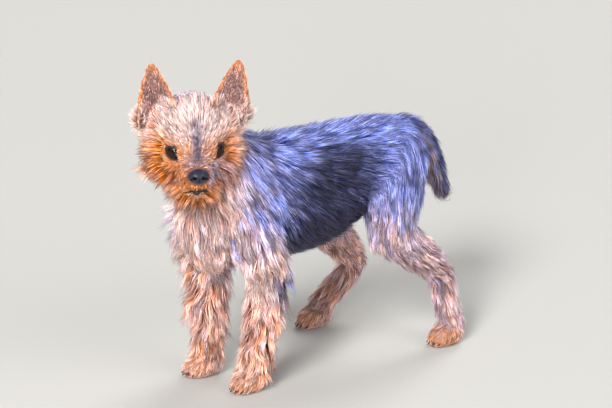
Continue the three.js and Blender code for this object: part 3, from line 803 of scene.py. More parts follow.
# %% Lie of the coat on the head
def lie_head(points):
    """The seven values for spots of the head, and as an eighth how deep the coat stands there."""
    x, y, z = in_head(points).T
    side = np.sign(x)
    wide = np.abs(x)
    none = np.zeros_like(x)
    low = step(-z, 2, 18)
    face = step(-y, 22, 36)
    way = unit((points - NOSE) @ HEAD_TURN * (1.4, 0, 1)) + (0, 0.45, 0)
    hang = np.stack([side * 0.5, 0.12 + none, -1 + none], 1)
    way += (hang - way) * (0.85 * low)[:, None]
    tuft = step(wide, 18, 28) * step(z, -14, 2)
    flare = np.stack([side * (wide - 8), 10 + none, 1.3 * (z - 6)], 1) / 25
    way += (flare - way) * tuft[:, None]
    high = step(z, 8, 28)
    cheek = step(wide, 15, 24) * step(-y, -30, -6)
    upper_lip = face * step(-z, 14, 20) * step(28 + z, 0, 5) * step(9 - wide, 0, 4)
    length = 8 + 11 * high + 8 * cheek + 12 * low + 1 * tuft
    length += (20 - 9 * step(z, -2, 14) - length) * tuft
    ear_front = step(wide, 11, 17) * step(z, 8, 16) * step(-y, -12, 0) * (1 - tuft)
    length *= 1 - 0.4 * ear_front
    length += (4.5 + 10 * step(-z, 12, 24) * step(wide, 4, 10) + 17 * step(-z, 28, 36) - length) * face
    length += (3.6 - length) * upper_lip
    rise = 0.25 + 0.3 * high + 0.65 * tuft + 0.25 * low * (1 - face)
    loft = 1.5 + 2.5 * high + 10 * tuft + 10 * low * (1 - 0.3 * face)
    coat = 3 + 5 * high + 6 * cheek + 6 * low
    coat += (3.0 + 6 * step(-z, 12, 22) * step(wide, 3, 9) - coat) * face
    coat *= (1 - 0.8 * upper_lip) * (1 - 0.6 * ear_front)
    clump = 0.3 + 0.15 * low
    return way @ HEAD_TURN.T, length, rise, 0.15 * low, loft, 0.7 + 0.5 * low, clump, coat


print("hair over the bridge", lie_head(head_point(0, -30, 2)[None])[1].round(1), "mm")

# %% [markdown]
# The markings: steel blue on the back, flanks and tail, tan on the face and legs, cream on the chest
# and crown, and a dark streak up the forehead. They could be painted on. Here they are worked out for
# any spot by soft steps in a few directions, as the weights of three tints over cream, so that skin
# and hair read the same weights and every hair takes the tint of its root. On the head, painted shade
# greys the left side of the face, which is turned from the key light.


# %% Markings
def body_marks(name, points, t, turn):
    """Weights of tan, steel and dark for spots of one length of the body."""
    x, y, z = points.T
    top = np.sin(turn)
    even = np.ones_like(x)
    if name == "torso":
        low = step(-top, -0.1, 0.9)
        front = np.maximum(step(-y, -8, 12), step(18 - y, -14, 16) * step(150 - z, -12, 16))
        steel = 1 - 0.85 * front - 0.3 * step(-top, 0.75, 0.95)
        dark = (0.08 + 0.84 * step(0.96 - top, 0, 0.3) + 0.18 * low) * step(y + 45 * low, 15, 60)
        dark *= (1 - 0.8 * step(y, 105, 150) * step(top, -0.8, 0)) * (1 - front)
        return 0.35 + 0.2 * low, steel, dark
    if name == "chest":
        return 0.32 * even, 0.08 * even, 0 * x
    if name == "neck":
        throat = step(top, -0.35, 0.35)
        return 0.3 * even, 0.92 - 0.74 * throat, 0.1 * (1 - throat)
    if name == "tail":
        under = step(-top, -0.2, 0.6)
        return 0.45 * even, 0.95 - 0.5 * under, 0.45 + 0.4 * step(t, 0.6, 1) - 0.1 * under
    if name.startswith("upper_arm"):
        elbow = step(t, 0.55, 0.85) * step(top, -0.9, 0.1) * (1 if name.endswith("left") else 0.5)
        grey = 0.4 * step(0.5 - t, 0, 0.4)
        return 0.3 * even, np.maximum(grey, 0.75 * elbow), 0.6 * elbow
    if name.startswith("thigh"):
        return 0.3 + 0.1 * t, 0.95 - 0.55 * step(t, 0.35, 1), (0.08 + 0.06 * t) * even
    if name.startswith("forearm"):
        return 0.6 + 0.1 * t, 0.12 * (1 - t), 0 * x
    if name.startswith("paw"):
        hind = 0.15 if name == "paw_hind_left" else 0
        return (0.6 + hind) * even, 0 * x, 0.2 * hind * even
    right = 0.35 if name.endswith("right") else 0
    tan, steel, dark = 0.45 + 0.3 * right, 0.25 - 0.3 * right, 0.12 - 0.3 * right
    return tan * even, steel * even, dark * even


def head_marks(points):
    """Weights of tan, steel and dark for spots of the head, with painted shade on its left side."""
    x, y, z = in_head(points).T
    wide = np.abs(x)
    crown = step(z, 6, 22) * step(34 - wide, 0, 12)
    tufts = step(wide, 24, 38) * step(z, -4, 12)
    bridge = bump(x, 0, 9) * step(z, -14, -4) * step(12 - z, 0, 10) * step(-y, 18, 30)
    # Painted shade: the left side of the face, turned from the key light, is made greyer, with less tan
    # and more steel.
    face_shade_side = step(x, 3, 12) * step(-4 - z, -4, 8) * step(-y, 16, 30) * step(z, -26, -18)
    tan = 0.95 - 0.85 * crown - 0.68 * tufts - 0.45 * bridge - 0.5 * face_shade_side
    # Painted shade: less tan on the left side of the face.
    tan -= 0.12 * step(x, 6, 20) * (1 - crown)
    steel = 0.4 * bump(x, 0, 4.0) * step(z, -6, 4) * step(30 - z, 0, 9) * step(-y, 0, 14)
    steel = np.maximum(steel, 0.3 * bridge)
    steel = np.maximum(steel, 0.45 * face_shade_side)
    steel = np.maximum(steel, 0.85 * step(y, 16, 26) * step(30 - z, -8, 6))
    dark = 0.75 * bump(x, 0, 3.2) * step(z, -8, 2) * step(30 - z, 0, 10) * step(-y, 2, 14)
    dark = np.maximum(dark, 0.36 * step(-z, 26, 34))
    return tan, steel, dark


print("tan of the forehead", head_marks(head_point(0, -20, 12)[None])[0].round(2))

# %% [markdown]
# On a dog the lie turns smoothly from one part to the next. For every spot of skin, each length of
# flesh near it has a say, weighted by how close it is. Taking only the nearest length would leave a
# parting where two of them meet.

# %% Blend the lies and markings over the skin
BLEND, REACH = 3.5, 25


def normals_of(mesh):
    normals = np.empty(len(mesh.vertices) * 3, np.float64)
    mesh.vertices.foreach_get("normal", normals)
    return normals.reshape(-1, 3)


skin_spots = skin_points()
skin_normals = normals_of(skin.data)
head_spots = in_head(skin_spots)
total = np.zeros(len(skin_spots))
heading = np.zeros_like(skin_spots)
fields = {name: np.zeros(len(skin_spots)) for name in FIELDS}
marks = np.zeros((len(skin_spots), 3))
best = np.zeros(len(skin_spots))
part_of = np.zeros(len(skin_spots), int)
names = list(flesh)
on_head = lie_head(skin_spots)
marks_of_head = np.stack(head_marks(skin_spots), 1)
for number, (name, form) in enumerate(flesh.items()):
    gap, t, turn, along, across, up, coat = form.nearest(skin_spots)
    if name in HEAD_PARTS:
        way, *rest = on_head
        tints = marks_of_head
    else:
        lie = next(LIES[key] for key in LIES if name.startswith(key))
        way, *rest = *lie(skin_spots, t, turn, along, across, up), coat
        tints = np.stack(body_marks(name, skin_spots, t, turn), 1)
    weight = np.exp(-np.maximum(gap, 0) / BLEND)
    weight[gap > REACH] = 0
    heading += tangent(way, skin_normals) * weight[:, None]
    for field, value in zip(FIELDS, rest):
        fields[field] += weight * value
    marks += tints * weight[:, None]
    total += weight
    part_of = np.where(weight > best, number, part_of)
    best = np.maximum(best, weight)
total = np.maximum(total, 1e-6)
for field in FIELDS:
    fields[field] /= total
marks = np.clip(marks / total[:, None], 0, 1)
print("mean length", fields["length"].mean().round(1), "mm")

# %% [markdown]
# On the right of the chest and of the right fore leg, the long hair is blown out and forward, and
# breaks the outline there. It could be a few locks of its own. It is the same hair, though, so its
# heading, rise and height are drawn towards those of blown hair instead.

# %% Loose hair on the right shoulder
BLOWN = (-0.8, -0.6, -0.6)


def draw_towards(where, values):
    """Draws fields of the coat towards new values, by a share for each spot."""
    for field, value in values.items():
        fields[field] += (value - fields[field]) * where


x, y, z = skin_spots.T
loose = step(-x, 20, 34) * step(z, 50, 80) * step(196 - z, 0, 30) * step(30 - y, 0, 14)
blown = tangent(np.tile(BLOWN, (len(x), 1)), skin_normals)
blown_share = 0.5 * loose * np.linalg.norm(heading, axis=1)
heading = heading * (1 - 0.5 * loose)[:, None] + blown * blown_share[:, None]
draw_towards(loose, {"length": 36, "rise": 0.75, "loft": 10, "drop": 0.1})
print("loose spots", int((loose > 0.5).sum()))

# %% [markdown]
# The ears are not lengths of flesh. Their short hair runs up towards the tip, close and velvety, tan
# along the rim, and painted shade darkens the cup, most deeply near its base. Long pale hair grows
# up out of the inner base. The formula that bent the ears tells which spots of the skin are theirs,
# and how far round the cup they lie.

# %% Lie of the coat on the ears
ears, fringe, tufts = (np.zeros(len(skin_spots)) for _ in range(3))
for side, _ in SIDES:
    x, y, z = head_spots[:, 0] * side, head_spots[:, 1], head_spots[:, 2]
    up_share = (z - EAR_ROOT[2]) / EAR_HEIGHT
    level = np.clip(up_share, 0, 1)
    wide, cup, radius = ear_curve(level)
    centre_x = EAR_ROOT[0] + (EAR_TIPS[side] - EAR_ROOT[0]) * up_share
    centre_y = EAR_ROOT[1] + 2 * up_share - radius + (radius - wide) * 0.2
    r = np.hypot(x - centre_x, y - centre_y)
    on_ear = np.clip((3.4 - np.abs(r - radius)) / 1.2, 0, 1) * np.clip((z - 24) / 5, 0, 1)
    on_ear *= (y > centre_y - 2) & (x > 0)
    round_cup = np.arctan2(x - centre_x, y - centre_y) / cup
    inside = on_ear * (r < radius)
    rim = np.maximum(step(np.abs(round_cup), 0.6, 0.92), step(level, 0.7, 0.95))
    inner = inside * step(0.34 - level, 0, 0.2) * step(0.1 - round_cup, 0, 0.5)
    outer = on_ear * step(round_cup, 0.2, 0.7) * step(0.4 - level, 0, 0.3)
    ears, fringe, tufts = np.maximum(ears, on_ear), np.maximum(fringe, inner), np.maximum(tufts, outer)
    flare = tangent(np.tile(head_way(side, 0.4, 0.2), (len(x), 1)), skin_normals)
    run = tangent(np.tile(head_way(side * 0.18, 0.05, 1), (len(x), 1)), skin_normals)
    run += (flare - run) * outer[:, None]
    heading = np.where(on_ear[:, None] > 0.5, run, heading)
    # Painted shade: the inside of the cup is darkened, most deeply near its base.
    cup_shade = inside * (1 - rim) * (0.62 - 0.25 * level)
    tints = np.stack([0.8 + 0.15 * rim, 0.1 * (1 - rim), cup_shade], 1)
    marks = marks * (1 - on_ear[:, None]) + tints * on_ear[:, None]
for field, value in zip(FIELDS, (4.5, 0.1, 0.0, 0.5, 0.4, 0.15, 1.6)):
    fields[field] = fields[field] * (1 - ears) + value * ears
for where, values, tints in (
    (fringe, (15, 0.3, 0.0, 9, 0.8, 0.3, 1), (0.2, 0.05, 0.0)),
    (tufts, (9, 0.5, 0.1, 9, 0.8, 0.2, 1.8), (0.35, 0.05, 0.0)),
):
    draw_towards(where, dict(zip(FIELDS, values)))
    marks += (np.array(tints) - marks) * where[:, None]
for side, _ in SIDES:
    lid = 1 - step(in_opening(skin_spots, side), 1.3, 2.6)
    draw_towards(lid, dict(zip(FIELDS, (4.0, 0.12, 0.0, 0.4, 0.4, 0.1, 1.0))))
heading = unit(heading)
print("ear spots", int((ears > 0.5).sum()), "fringe", int((fringe > 0.5).sum()))

# %% [markdown]
# Skin and hair take their colour from the same markings. A picture could be wrapped over the dog, but
# it would show on the skin and not on the hairs. Here tan and steel are laid over cream, and dark over
# both, in a chain of mixing nodes. The chain is written as a list, in which each row has a name, the
# share of the upper colour, the colour under and the colour over.

# %% Colours of the coat
COLOURS = {
    "cream": "FAE0D8",
    "tan": "FFB478",
    "tan_deep": "D27A42",
    "silver": "A2B2FA",
    "steel": "3E4E9E",
    "indigo": "101446",
    "tip": "F2E6F0",
}
UNDER, OVER, MIXED = 6, 7, 2


def coat_colour(tree, marking, lock):
    """The colour of hair or skin, from its markings and how deep its lock is tinted."""
    mixed = {name: linear(value) for name, value in COLOURS.items()}
    for name, share, under, over in (
        ("warm_lock", lock, "tan", "tan_deep"),
        ("warm", marking["Red"], "cream", "warm_lock"),
        ("cool", lock, "silver", "steel"),
        ("base", marking["Green"], "warm", "cool"),
        ("coat", marking["Blue"], "base", "indigo"),
    ):
        links = {"Factor": share, UNDER: mixed[under], OVER: mixed[over]}
        mixed[name] = add_node(tree, "ShaderNodeMix", links, data_type="RGBA").outputs[MIXED]
    return mixed["coat"]


print("colours", len(COLOURS))

# %% [markdown]
# Real hair is a smooth shaft of keratin that lets some light through. Deep in a coat it lies in
# shade, and that shade is painted here: each hair is darkest and richest near the root, and palest
# at the tip, where the sun bleaches it. A hair shader for curves could do this. For solid shafts,
# the share of the way from root to tip is kept on the mesh, and drives the painted shade, the
# richness and the bleaching of an ordinary shader. Two more numbers, one for the lock and one for
# the hair itself, make some of them darker than others.


# %% Hair
def hair_material():
    """Hair: keratin, grown as a smooth shaft, which gives it a soft, silky gloss."""
    material, tree, shader = new_material("silky_keratin_hair")
    kept = {}
    for name in ("strand", "marking"):
        attribute = add_node(tree, "ShaderNodeAttribute", attribute_name=name)
        parts = add_node(tree, "ShaderNodeSeparateColor", {"Color": attribute.outputs["Color"]})
        kept[name] = parts.outputs
    strand, marking = kept["strand"], kept["marking"]
    colour = coat_colour(tree, marking, strand["Green"])
    strong = add_node(
        tree, "ShaderNodeMath", {0: marking["Green"], 1: marking["Red"]}, operation="MAXIMUM"
    )
    most = add_node(
        tree, "ShaderNodeMapRange", {"Value": strong.outputs["Value"], "To Min": 0.55, "To Max": 0.11}
    )
    tip = add_node(
        tree,
        "ShaderNodeMapRange",
        {"Value": strand["Red"], "From Min": 0.35, "To Max": most.outputs["Result"]},
    )
    bleached = add_node(
        tree,
        "ShaderNodeMix",
        {"Factor": tip.outputs["Result"], UNDER: colour, OVER: linear(COLOURS["tip"])},
        data_type="RGBA",
    )
    # Painted shade: near the root the colour is made richer, as the shade deep in the coat makes it look.
    root_shade_richness = add_node(
        tree,
        "ShaderNodeMapRange",
        {"Value": strand["Red"], "From Max": 0.7, "To Min": 1.6, "To Max": 0.95},
    )
    # Painted shade: each hair is darkest at its root and brightens towards its tip.
    root_shade = add_node(
        tree,
        "ShaderNodeMapRange",
        {"Value": strand["Red"], "From Max": 0.7, "To Min": 0.34, "To Max": 1.18},
        interpolation_type="SMOOTHSTEP",
    )
    bright = root_shade.outputs["Result"]
    for channel, at_none, at_full in (("Blue", 0.6, 1.5), ("Green", 1.26, 0.5)):
        links = {"Value": strand[channel], "To Min": at_none, "To Max": at_full}
        own = add_node(tree, "ShaderNodeMapRange", links)
        links = {0: bright, 1: own.outputs["Result"]}
        bright = add_node(tree, "ShaderNodeMath", links, operation="MULTIPLY").outputs["Value"]
    shaded = add_node(
        tree,
        "ShaderNodeHueSaturation",
        {"Color": bleached.outputs[MIXED], "Saturation": root_shade_richness.outputs["Result"], "Value": bright},
    )
    tree.links.new(shaded.outputs["Color"], shader.inputs["Base Color"])
    shader.inputs["Roughness"].default_value = 0.5
    shader.inputs["IOR"].default_value = 1.4
    return material


hair = hair_material()
print("hair nodes", len(hair.node_tree.nodes))

# %% [markdown]
# Under the coat the skin hardly shows, but it must not shine through as a pale ground. It carries the
# same markings as the hair, dimmed as if by the coat's shade, and is painted dark where real skin is
# bare and black: round the lids, at the nose and along the lips.

# %% Skin under the coat
SKIN_FOLD = 1.11
SKIN_LOCK = 0.45
BARE_TINT = (0.9, 0.0, 0.6)
LID_TINT = (1.0, 0.0, 0.85)
LID_BAND, LID_FADE = 1.34, 0.2
NOSE_MIDDLE, NOSE_HALF = (0, NOSE_TIP + 5, -10), (8.6, 8, 6.5)


def skin_material():
    """Skin: living, soft and finely folded, so quite matt. The folds are drawn coarser than real."""
    material, tree, shader = new_material("living_skin")
    attribute = add_node(tree, "ShaderNodeAttribute", attribute_name="marking")
    marking = add_node(tree, "ShaderNodeSeparateColor", {"Color": attribute.outputs["Color"]})
    colour = coat_colour(tree, marking.outputs, SKIN_LOCK)
    dim = add_node(tree, "ShaderNodeHueSaturation", {"Color": colour, "Value": 0.5})
    tree.links.new(dim.outputs["Color"], shader.inputs["Base Color"])
    coords = add_node(tree, "ShaderNodeTexCoord")
    grain = add_node(
        tree,
        "ShaderNodeTexNoise",
        {"Vector": coords.outputs["Object"], "Scale": 1 / (SKIN_FOLD * MM), "Detail": 3.0},
    )
    bumps = add_node(
        tree,
        "ShaderNodeBump",
        {"Height": grain.outputs["Fac"], "Strength": 0.5, "Distance": 0.4 * MM},
    )
    tree.links.new(bumps.outputs["Normal"], shader.inputs["Normal"])
    shader.inputs["Roughness"].default_value = 0.7
    return material


skin.data.materials.clear()
skin.data.materials.append(skin_material())
skin.data.polygons.foreach_set("use_smooth", [True] * len(skin.data.polygons))
skin_marks = marks.copy()
for side, _ in SIDES:
    lid = step(LID_BAND - in_opening(skin_spots, side), 0, LID_FADE)[:, None]
    skin_marks += (LID_TINT - skin_marks) * lid
nose_gap = np.linalg.norm((head_spots - NOSE_MIDDLE) / NOSE_HALF, axis=1)
muzzle_end = (1 - step(nose_gap, 1.2, 1.8))[:, None]
skin_marks += (BARE_TINT - skin_marks) * muzzle_end
near = by_mouth(skin_spots)
mouth_gap = from_mouth(skin_spots[near])
lips = (1 - step(mouth_gap, 3, 6))[:, None]
skin_marks[near] += (BARE_TINT - skin_marks[near]) * lips
print("spots of bare skin", int((muzzle_end > 0.5).sum() + (lips > 0.5).sum()))
layer = skin.data.color_attributes.new("marking", "FLOAT_COLOR", "POINT")
layer.data.foreach_set("color", np.column_stack([skin_marks, np.ones(len(marks))]).ravel())

# %% [markdown]
# The skin and the coat get a flat unwrap, named OFBake. The skin could be cut along seams by hand.
# Since no seam will show, it is cut wherever it turns sharply, and each hair later gets a small patch
# of that unwrap at the place of its root.

# %% Unwrap the skin
work_on(skin)
while skin.data.uv_layers:
    skin.data.uv_layers.remove(skin.data.uv_layers[0])
skin.data.uv_layers.new(name="OFBake")
bpy.ops.object.mode_set(mode="EDIT")
bpy.ops.mesh.select_all(action="SELECT")
bpy.ops.uv.smart_project(angle_limit=1.2, island_margin=0.002)
bpy.ops.object.mode_set(mode="OBJECT")
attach(skin, "root")
flesh_nodes = [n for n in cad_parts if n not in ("eye_left", "eye_right", "nose")]
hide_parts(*flesh_nodes)
print("unwrapped", len(skin.data.loops))

# %% [markdown]
# Hairs are rooted all over the skin, closer together on the face and ears, where they are fine. They
# could be set out on a grid, but that would show as rows. Each is dropped on a face of the skin that
# is chosen by lot, with odds that follow the face's area and how crowded the coat is there. None is
# rooted in the eyes, the nose, the lips or the soles.

# %% Roots
HAIRS = 84_000
DENSITY = {
    "skull": 2.6,
    "muzzle": 3.4,
    "jaw": 2.6,
    "cheek": 2.4,
    "temple": 2.6,
    "paw": 1.6,
    "tail": 1.4,
    "ear": 3.6,
}
SOLE = 1.2
BARE_LID = 1.06
BARE_LIP, LIP_HALF = 1.1, 8.5

mesh = skin.data
mesh.calc_loop_triangles()
triangles = np.array([t.vertices for t in mesh.loop_triangles])
loops = np.array([t.loops for t in mesh.loop_triangles])
corners = skin_spots[triangles]
edges = corners[:, 1] - corners[:, 0], corners[:, 2] - corners[:, 0]
area = 0.5 * np.linalg.norm(np.cross(*edges), axis=1)
crowd = np.array([next((DENSITY[key] for key in DENSITY if name.startswith(key)), 1.0) for name in names])
crowd = crowd[part_of] * (1 - ears) + DENSITY["ear"] * ears
bare = (nose_gap < 1) | (skin_spots[:, 2] < SOLE)
for side, _ in SIDES:
    bare |= in_opening(skin_spots, side, BARE_LID) < 1
bare[near] |= (mouth_gap < BARE_LIP) & (np.abs(head_spots[near, 0]) < LIP_HALF)
crowd = crowd * (1 - bare)
chance = area * crowd[triangles].min(1)
chosen = rng.choice(len(triangles), HAIRS, p=chance / chance.sum())
mixer = rng.random((HAIRS, 2))
mixer = np.where(mixer.sum(1, keepdims=True) > 1, 1 - mixer, mixer)
shares = np.column_stack([1 - mixer.sum(1), mixer])


def at_roots(values):
    """Values of the skin's corners, read at the roots."""
    picked = values[triangles[chosen]]
    if picked.ndim == 2:
        return (picked * shares).sum(1)
    return (picked * shares[:, :, None]).sum(1)


roots = at_roots(skin_spots)
root_normals = unit(at_roots(skin_normals))
root_heading = tangent(at_roots(heading), root_normals)
root_fields = {name: at_roots(values) for name, values in fields.items()}
root_part = part_of[triangles[chosen][:, 0]]
root_ear = at_roots(ears)
layer_uv = np.empty(len(mesh.loops) * 2)
mesh.uv_layers["OFBake"].data.foreach_get("uv", layer_uv)
root_uv = (layer_uv.reshape(-1, 2)[loops[chosen]] * shares[:, :, None]).sum(1)
print("roots", len(roots))

# %% [markdown]
# Hair grows in locks. It could be left loose, but then a coat looks like felt. One hair in seven
# leads, fewer of them where the coat is long, and each of the others keeps to the three leaders
# nearest its root. The hairs of a lock share its tint, which differs a little from the next one's.

# %% Locks
NEIGHBOURS, PER_LEADER = 3, 7
TONE_NOISE = 0.14


def lock_leaders():
    """Hairs that lead a lock: a random choice, thinner where the coat is long."""
    odds = 1 / (0.35 + root_fields["length"] / 24) ** 1.5
    return rng.choice(HAIRS, HAIRS // PER_LEADER, replace=False, p=odds / odds.sum())


leaders = lock_leaders()
tree = KDTree(len(leaders))
for i, leader in enumerate(leaders):
    tree.insert(Vector(roots[leader]), i)
tree.balance()
found = [tree.find_n(Vector(p), NEIGHBOURS) for p in roots]
lock_near = np.array([[f[1] for f in row] for row in found])
lock_gap = np.array([[f[2] for f in row] for row in found])
lock_weight = 1 / (lock_gap + 0.6)
lock_weight *= (root_normals[:, None] * root_normals[leaders][lock_near]).sum(2) > 0.2
lock_weight[:, 0] += 1e-3
lock_weight /= lock_weight.sum(1, keepdims=True)
lock_of = lock_near[:, 0]
tone = rng.normal(0, 1, (len(leaders), 3))[lock_of]
root_marks = at_roots(marks)
spotty = 4 * root_marks * (1 - root_marks)
root_marks = np.clip(root_marks + TONE_NOISE * tone * (0.25 + spotty), 0, 1)
print("locks", len(leaders))

# %% [markdown]
# A leading hair is grown in short steps. At each one it goes on along the lie, lifts off the skin,
# sinks with its weight and waves a little, and is then kept between the skin and the height that the
# coat has there. A simulation could do this, but would take minutes. The skin is asked for its
# nearest point through a tree of its faces instead. Neighbours wave nearly in step, as the locks of a
# wavy leg do, so the phase follows the place of the root. Long loose hair is let hang free.

# %% Grow the leading hairs
STEPS = 8
FREE = 7
LIE_HEIGHT = 0.68
WAVE_TURN = 0.24
WAVE_PHASE = (0.1, 0.13, -WAVE_TURN)
PHASE_SPREAD = 2.2
WAVE_LEAST, WAVE_MOST = 0.06, 0.22
CURLY = 2
OFF_FLOOR = 0.8
surface = BVHTree.FromPolygons([Vector(p) for p in skin_spots], triangles.tolist())


def grow(starts, normals, headings, settings):
    """Paths of hairs, as points in millimetres: one row a hair, STEPS + 1 points each."""
    count = len(starts)
    path = np.empty((count, STEPS + 1, 3))
    path[:, 0] = starts
    spot = starts.copy()
    normal = normals.copy()
    way = headings.copy()
    sideways = np.cross(headings, normals)
    phase = rng.random(count) * PHASE_SPREAD + starts @ WAVE_PHASE
    wave = settings["curl"] * rng.uniform(WAVE_LEAST, WAVE_MOST, count)
    for number in range(1, STEPS + 1):
        share = number / STEPS
        swing = wave * np.sin(phase + WAVE_TURN * settings["length"] * share)
        lift = settings["rise"] * (1 - 0.6 * share) + 0.5 * swing * (settings["curl"] > CURLY)
        step_way = unit(
            way
            + normal * lift[:, None]
            + DOWN * (settings["drop"] * share)[:, None]
            + sideways * swing[:, None]
        )
        spot = spot + step_way * (settings["length"] / STEPS)[:, None]
        low = settings["coat"] * LIE_HEIGHT * share**0.8
        high = low + settings["loft"] * share + 0.6
        for i in range(count):
            found, found_normal, _, gap = surface.find_nearest(Vector(spot[i]))
            off = Vector(spot[i]) - found
            height = gap if off.dot(found_normal) > 0 else -gap
            if height < low[i]:
                spot[i] += np.array(found_normal) * (low[i] - height)
            elif height > high[i] and settings["loft"][i] < FREE:
                spot[i] -= np.array(off.normalized()) * (height - high[i])
            if settings["loft"][i] < FREE:
                normal[i] = found_normal
        spot[:, 2] = np.maximum(spot[:, 2], OFF_FLOOR)
        path[:, number] = spot
        way = tangent(way, normal)
    return path


lead_settings = {}
for name, values in root_fields.items():
    lead_settings[name] = values[leaders] * rng.uniform(0.85, 1.15, len(leaders))
lead_paths = grow(roots[leaders], root_normals[leaders], root_heading[leaders], lead_settings)
print("led", lead_paths.shape)

# %% [markdown]
# Growing every hair against the skin would be slow. Every other hair copies the paths of the leaders
# round it from its own root instead, drifts towards the nearest, and strays a little at the tip.

# %% Paths of all the hairs
STRAY = 1.2
ROOT_DEPTH = 0.8
share = np.linspace(0, 1, STEPS + 1)[None, :, None]
led = lead_paths[lock_of]
rides = np.zeros((HAIRS, STEPS + 1, 3))
for k in range(NEIGHBOURS):
    near_path = lead_paths[lock_near[:, k]]
    rides += lock_weight[:, k, None, None] * (near_path - near_path[:, :1])
scale_own = rng.uniform(0.7, 1.08, HAIRS)[:, None, None]
paths = roots[:, None] + rides * scale_own
paths += (led - paths) * root_fields["clump"][:, None, None] * share**1.3
stray = rng.normal(0, STRAY, (HAIRS, 1, 3)) * share**1.5
paths += stray * (root_fields["length"] / 26)[:, None, None]
paths[:, 0] = roots - ROOT_DEPTH * root_normals
paths[..., 2] = np.maximum(paths[..., 2], 0.5)
print("paths", paths.shape)

# %% [markdown]
# A hair is drawn as a closed, three-sided shaft, wider than it is thick, that tapers to a point. A
# round one would need twice the faces and look the same at this size. Real hair is about 0.06 mm
# thick. These are five to ten times that, so that they cover the skin and still show one by one.

# %% The shape of a hair
WIDE, THICK = 0.33, 0.22
RING = ((0.0, 1.0), (-0.87, -0.5), (0.87, -0.5))
finer = np.clip(root_fields["length"] / 22, 0.5, 1.1) * rng.uniform(0.75, 1.25, HAIRS)
hair_lock = rng.random(len(leaders))[lock_of]
hair_own = rng.random(HAIRS)


def hair_spots(hairs, rows):
    """The corners of many hairs: three round each kept step of the path, and one at the tip."""
    line = paths[hairs][:, rows]
    ways = unit(np.gradient(line, axis=1))
    across = unit(np.cross(ways, root_normals[hairs][:, None]))
    ridge = np.cross(across, ways)
    taper = np.clip((1 - rows / STEPS) * 2.2, 0, 1)
    thick = (finer[hairs][:, None] * taper)[..., None]
    rings = [line + across * (thick * WIDE * a) + ridge * (thick * THICK * b) for a, b in RING]
    body = np.stack(rings, 2)[:, :-1].reshape(len(line), -1, 3)
    return np.concatenate([body, line[:, -1:]], 1)


def hair_faces(points):
    """The faces of one hair, as numbers of its corners: four-sided ones, then triangles."""
    last = 3 * (points - 1)
    sides = [
        (3 * r + a, 3 * r + (a + 1) % 3, 3 * r + 3 + (a + 1) % 3, 3 * r + 3 + a)
        for r in range(points - 2)
        for a in range(3)
    ]
    tips = [(last - 3 + a, last - 3 + (a + 1) % 3, last) for a in range(3)]
    return np.array(sides), np.array([(2, 1, 0), *tips])


print("corners of a short hair", hair_spots(np.array([0]), np.array([0, 8])).shape[1])

# %% [markdown]
# A coat of single objects would be far too heavy, so thousands of hairs are written into one mesh. It
# could be built face by face, but filling the mesh's lists in one go is many times faster. Two
# attributes tell the material where on the hair a spot is, and which markings its root has.

# %% A mesh of many hairs
PATCH = 0.003


def hair_mesh(name, verts, points):
    """A mesh of hairs, and the corner that each of its loops stands on."""
    count, per = verts.shape[:2]
    sides, ends = hair_faces(points)
    start = (np.arange(count) * per)[:, None, None]
    rows = [(faces[None] + start).reshape(count, -1) for faces in (sides, ends)]
    corner_of = np.concatenate(rows, 1).ravel()
    sizes = np.tile([4] * len(sides) + [3] * len(ends), count)
    first = np.concatenate([[0], np.cumsum(sizes)[:-1]])
    new = bpy.data.meshes.new(name)
    new.vertices.add(count * per)
    new.vertices.foreach_set("co", place(verts.reshape(-1, 3)).ravel())
    new.loops.add(len(corner_of))
    new.loops.foreach_set("vertex_index", corner_of.astype(np.int32))
    new.polygons.add(len(sizes))
    new.polygons.foreach_set("loop_start", first.astype(np.int32))
    new.polygons.foreach_set("use_smooth", [True] * len(sizes))
    new.update(calc_edges=True)
    return new, corner_of


def hair_piece(name, hairs, rows):
    """A piece of the coat. `rows` are the steps of the path that are kept."""
    verts = hair_spots(hairs, rows)
    count, per = verts.shape[:2]
    new, corner_of = hair_mesh(name, verts, len(rows))
    along = np.append(np.repeat(rows / STEPS, 3)[:-3], 1.0)
    around = np.append(np.tile([0.0, 0.5, 1.0], len(rows) - 1), 0.5)
    strand = np.ones((count, per, 4))
    strand[..., 0] = along
    strand[..., 1] = hair_lock[hairs][:, None]
    strand[..., 2] = hair_own[hairs][:, None]
    marking = np.ones((count, per, 4))
    marking[..., :3] = root_marks[hairs][:, None]
    for layer_name, values in (("strand", strand), ("marking", marking)):
        layer = new.color_attributes.new(layer_name, "FLOAT_COLOR", "POINT")
        layer.data.foreach_set("color", values.ravel())
    uv = root_uv[hairs][:, None] + PATCH * (np.column_stack([around, along]) - 0.5)
    uv_layer = new.uv_layers.new(name="OFBake")
    uv_layer.data.foreach_set("uv", uv.reshape(-1, 2)[corner_of].ravel())
    new.materials.append(hair)
    piece = bpy.data.objects.new(name, new)
    bpy.context.collection.objects.link(piece)
    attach(piece, "root")
    return piece


print("patch of the unwrap for a hair", PATCH)

# %% [markdown]
# The coat could be one mesh. It is parted by the part of the body that it grows on, so that each
# piece stays small enough to be saved in full. It is parted by the part of the body that it grows
# on, and split again so that no piece holds more than a set number of triangles. Wavy hair needs
# five spots along its path to show its bends, and straight hair makes do with four.

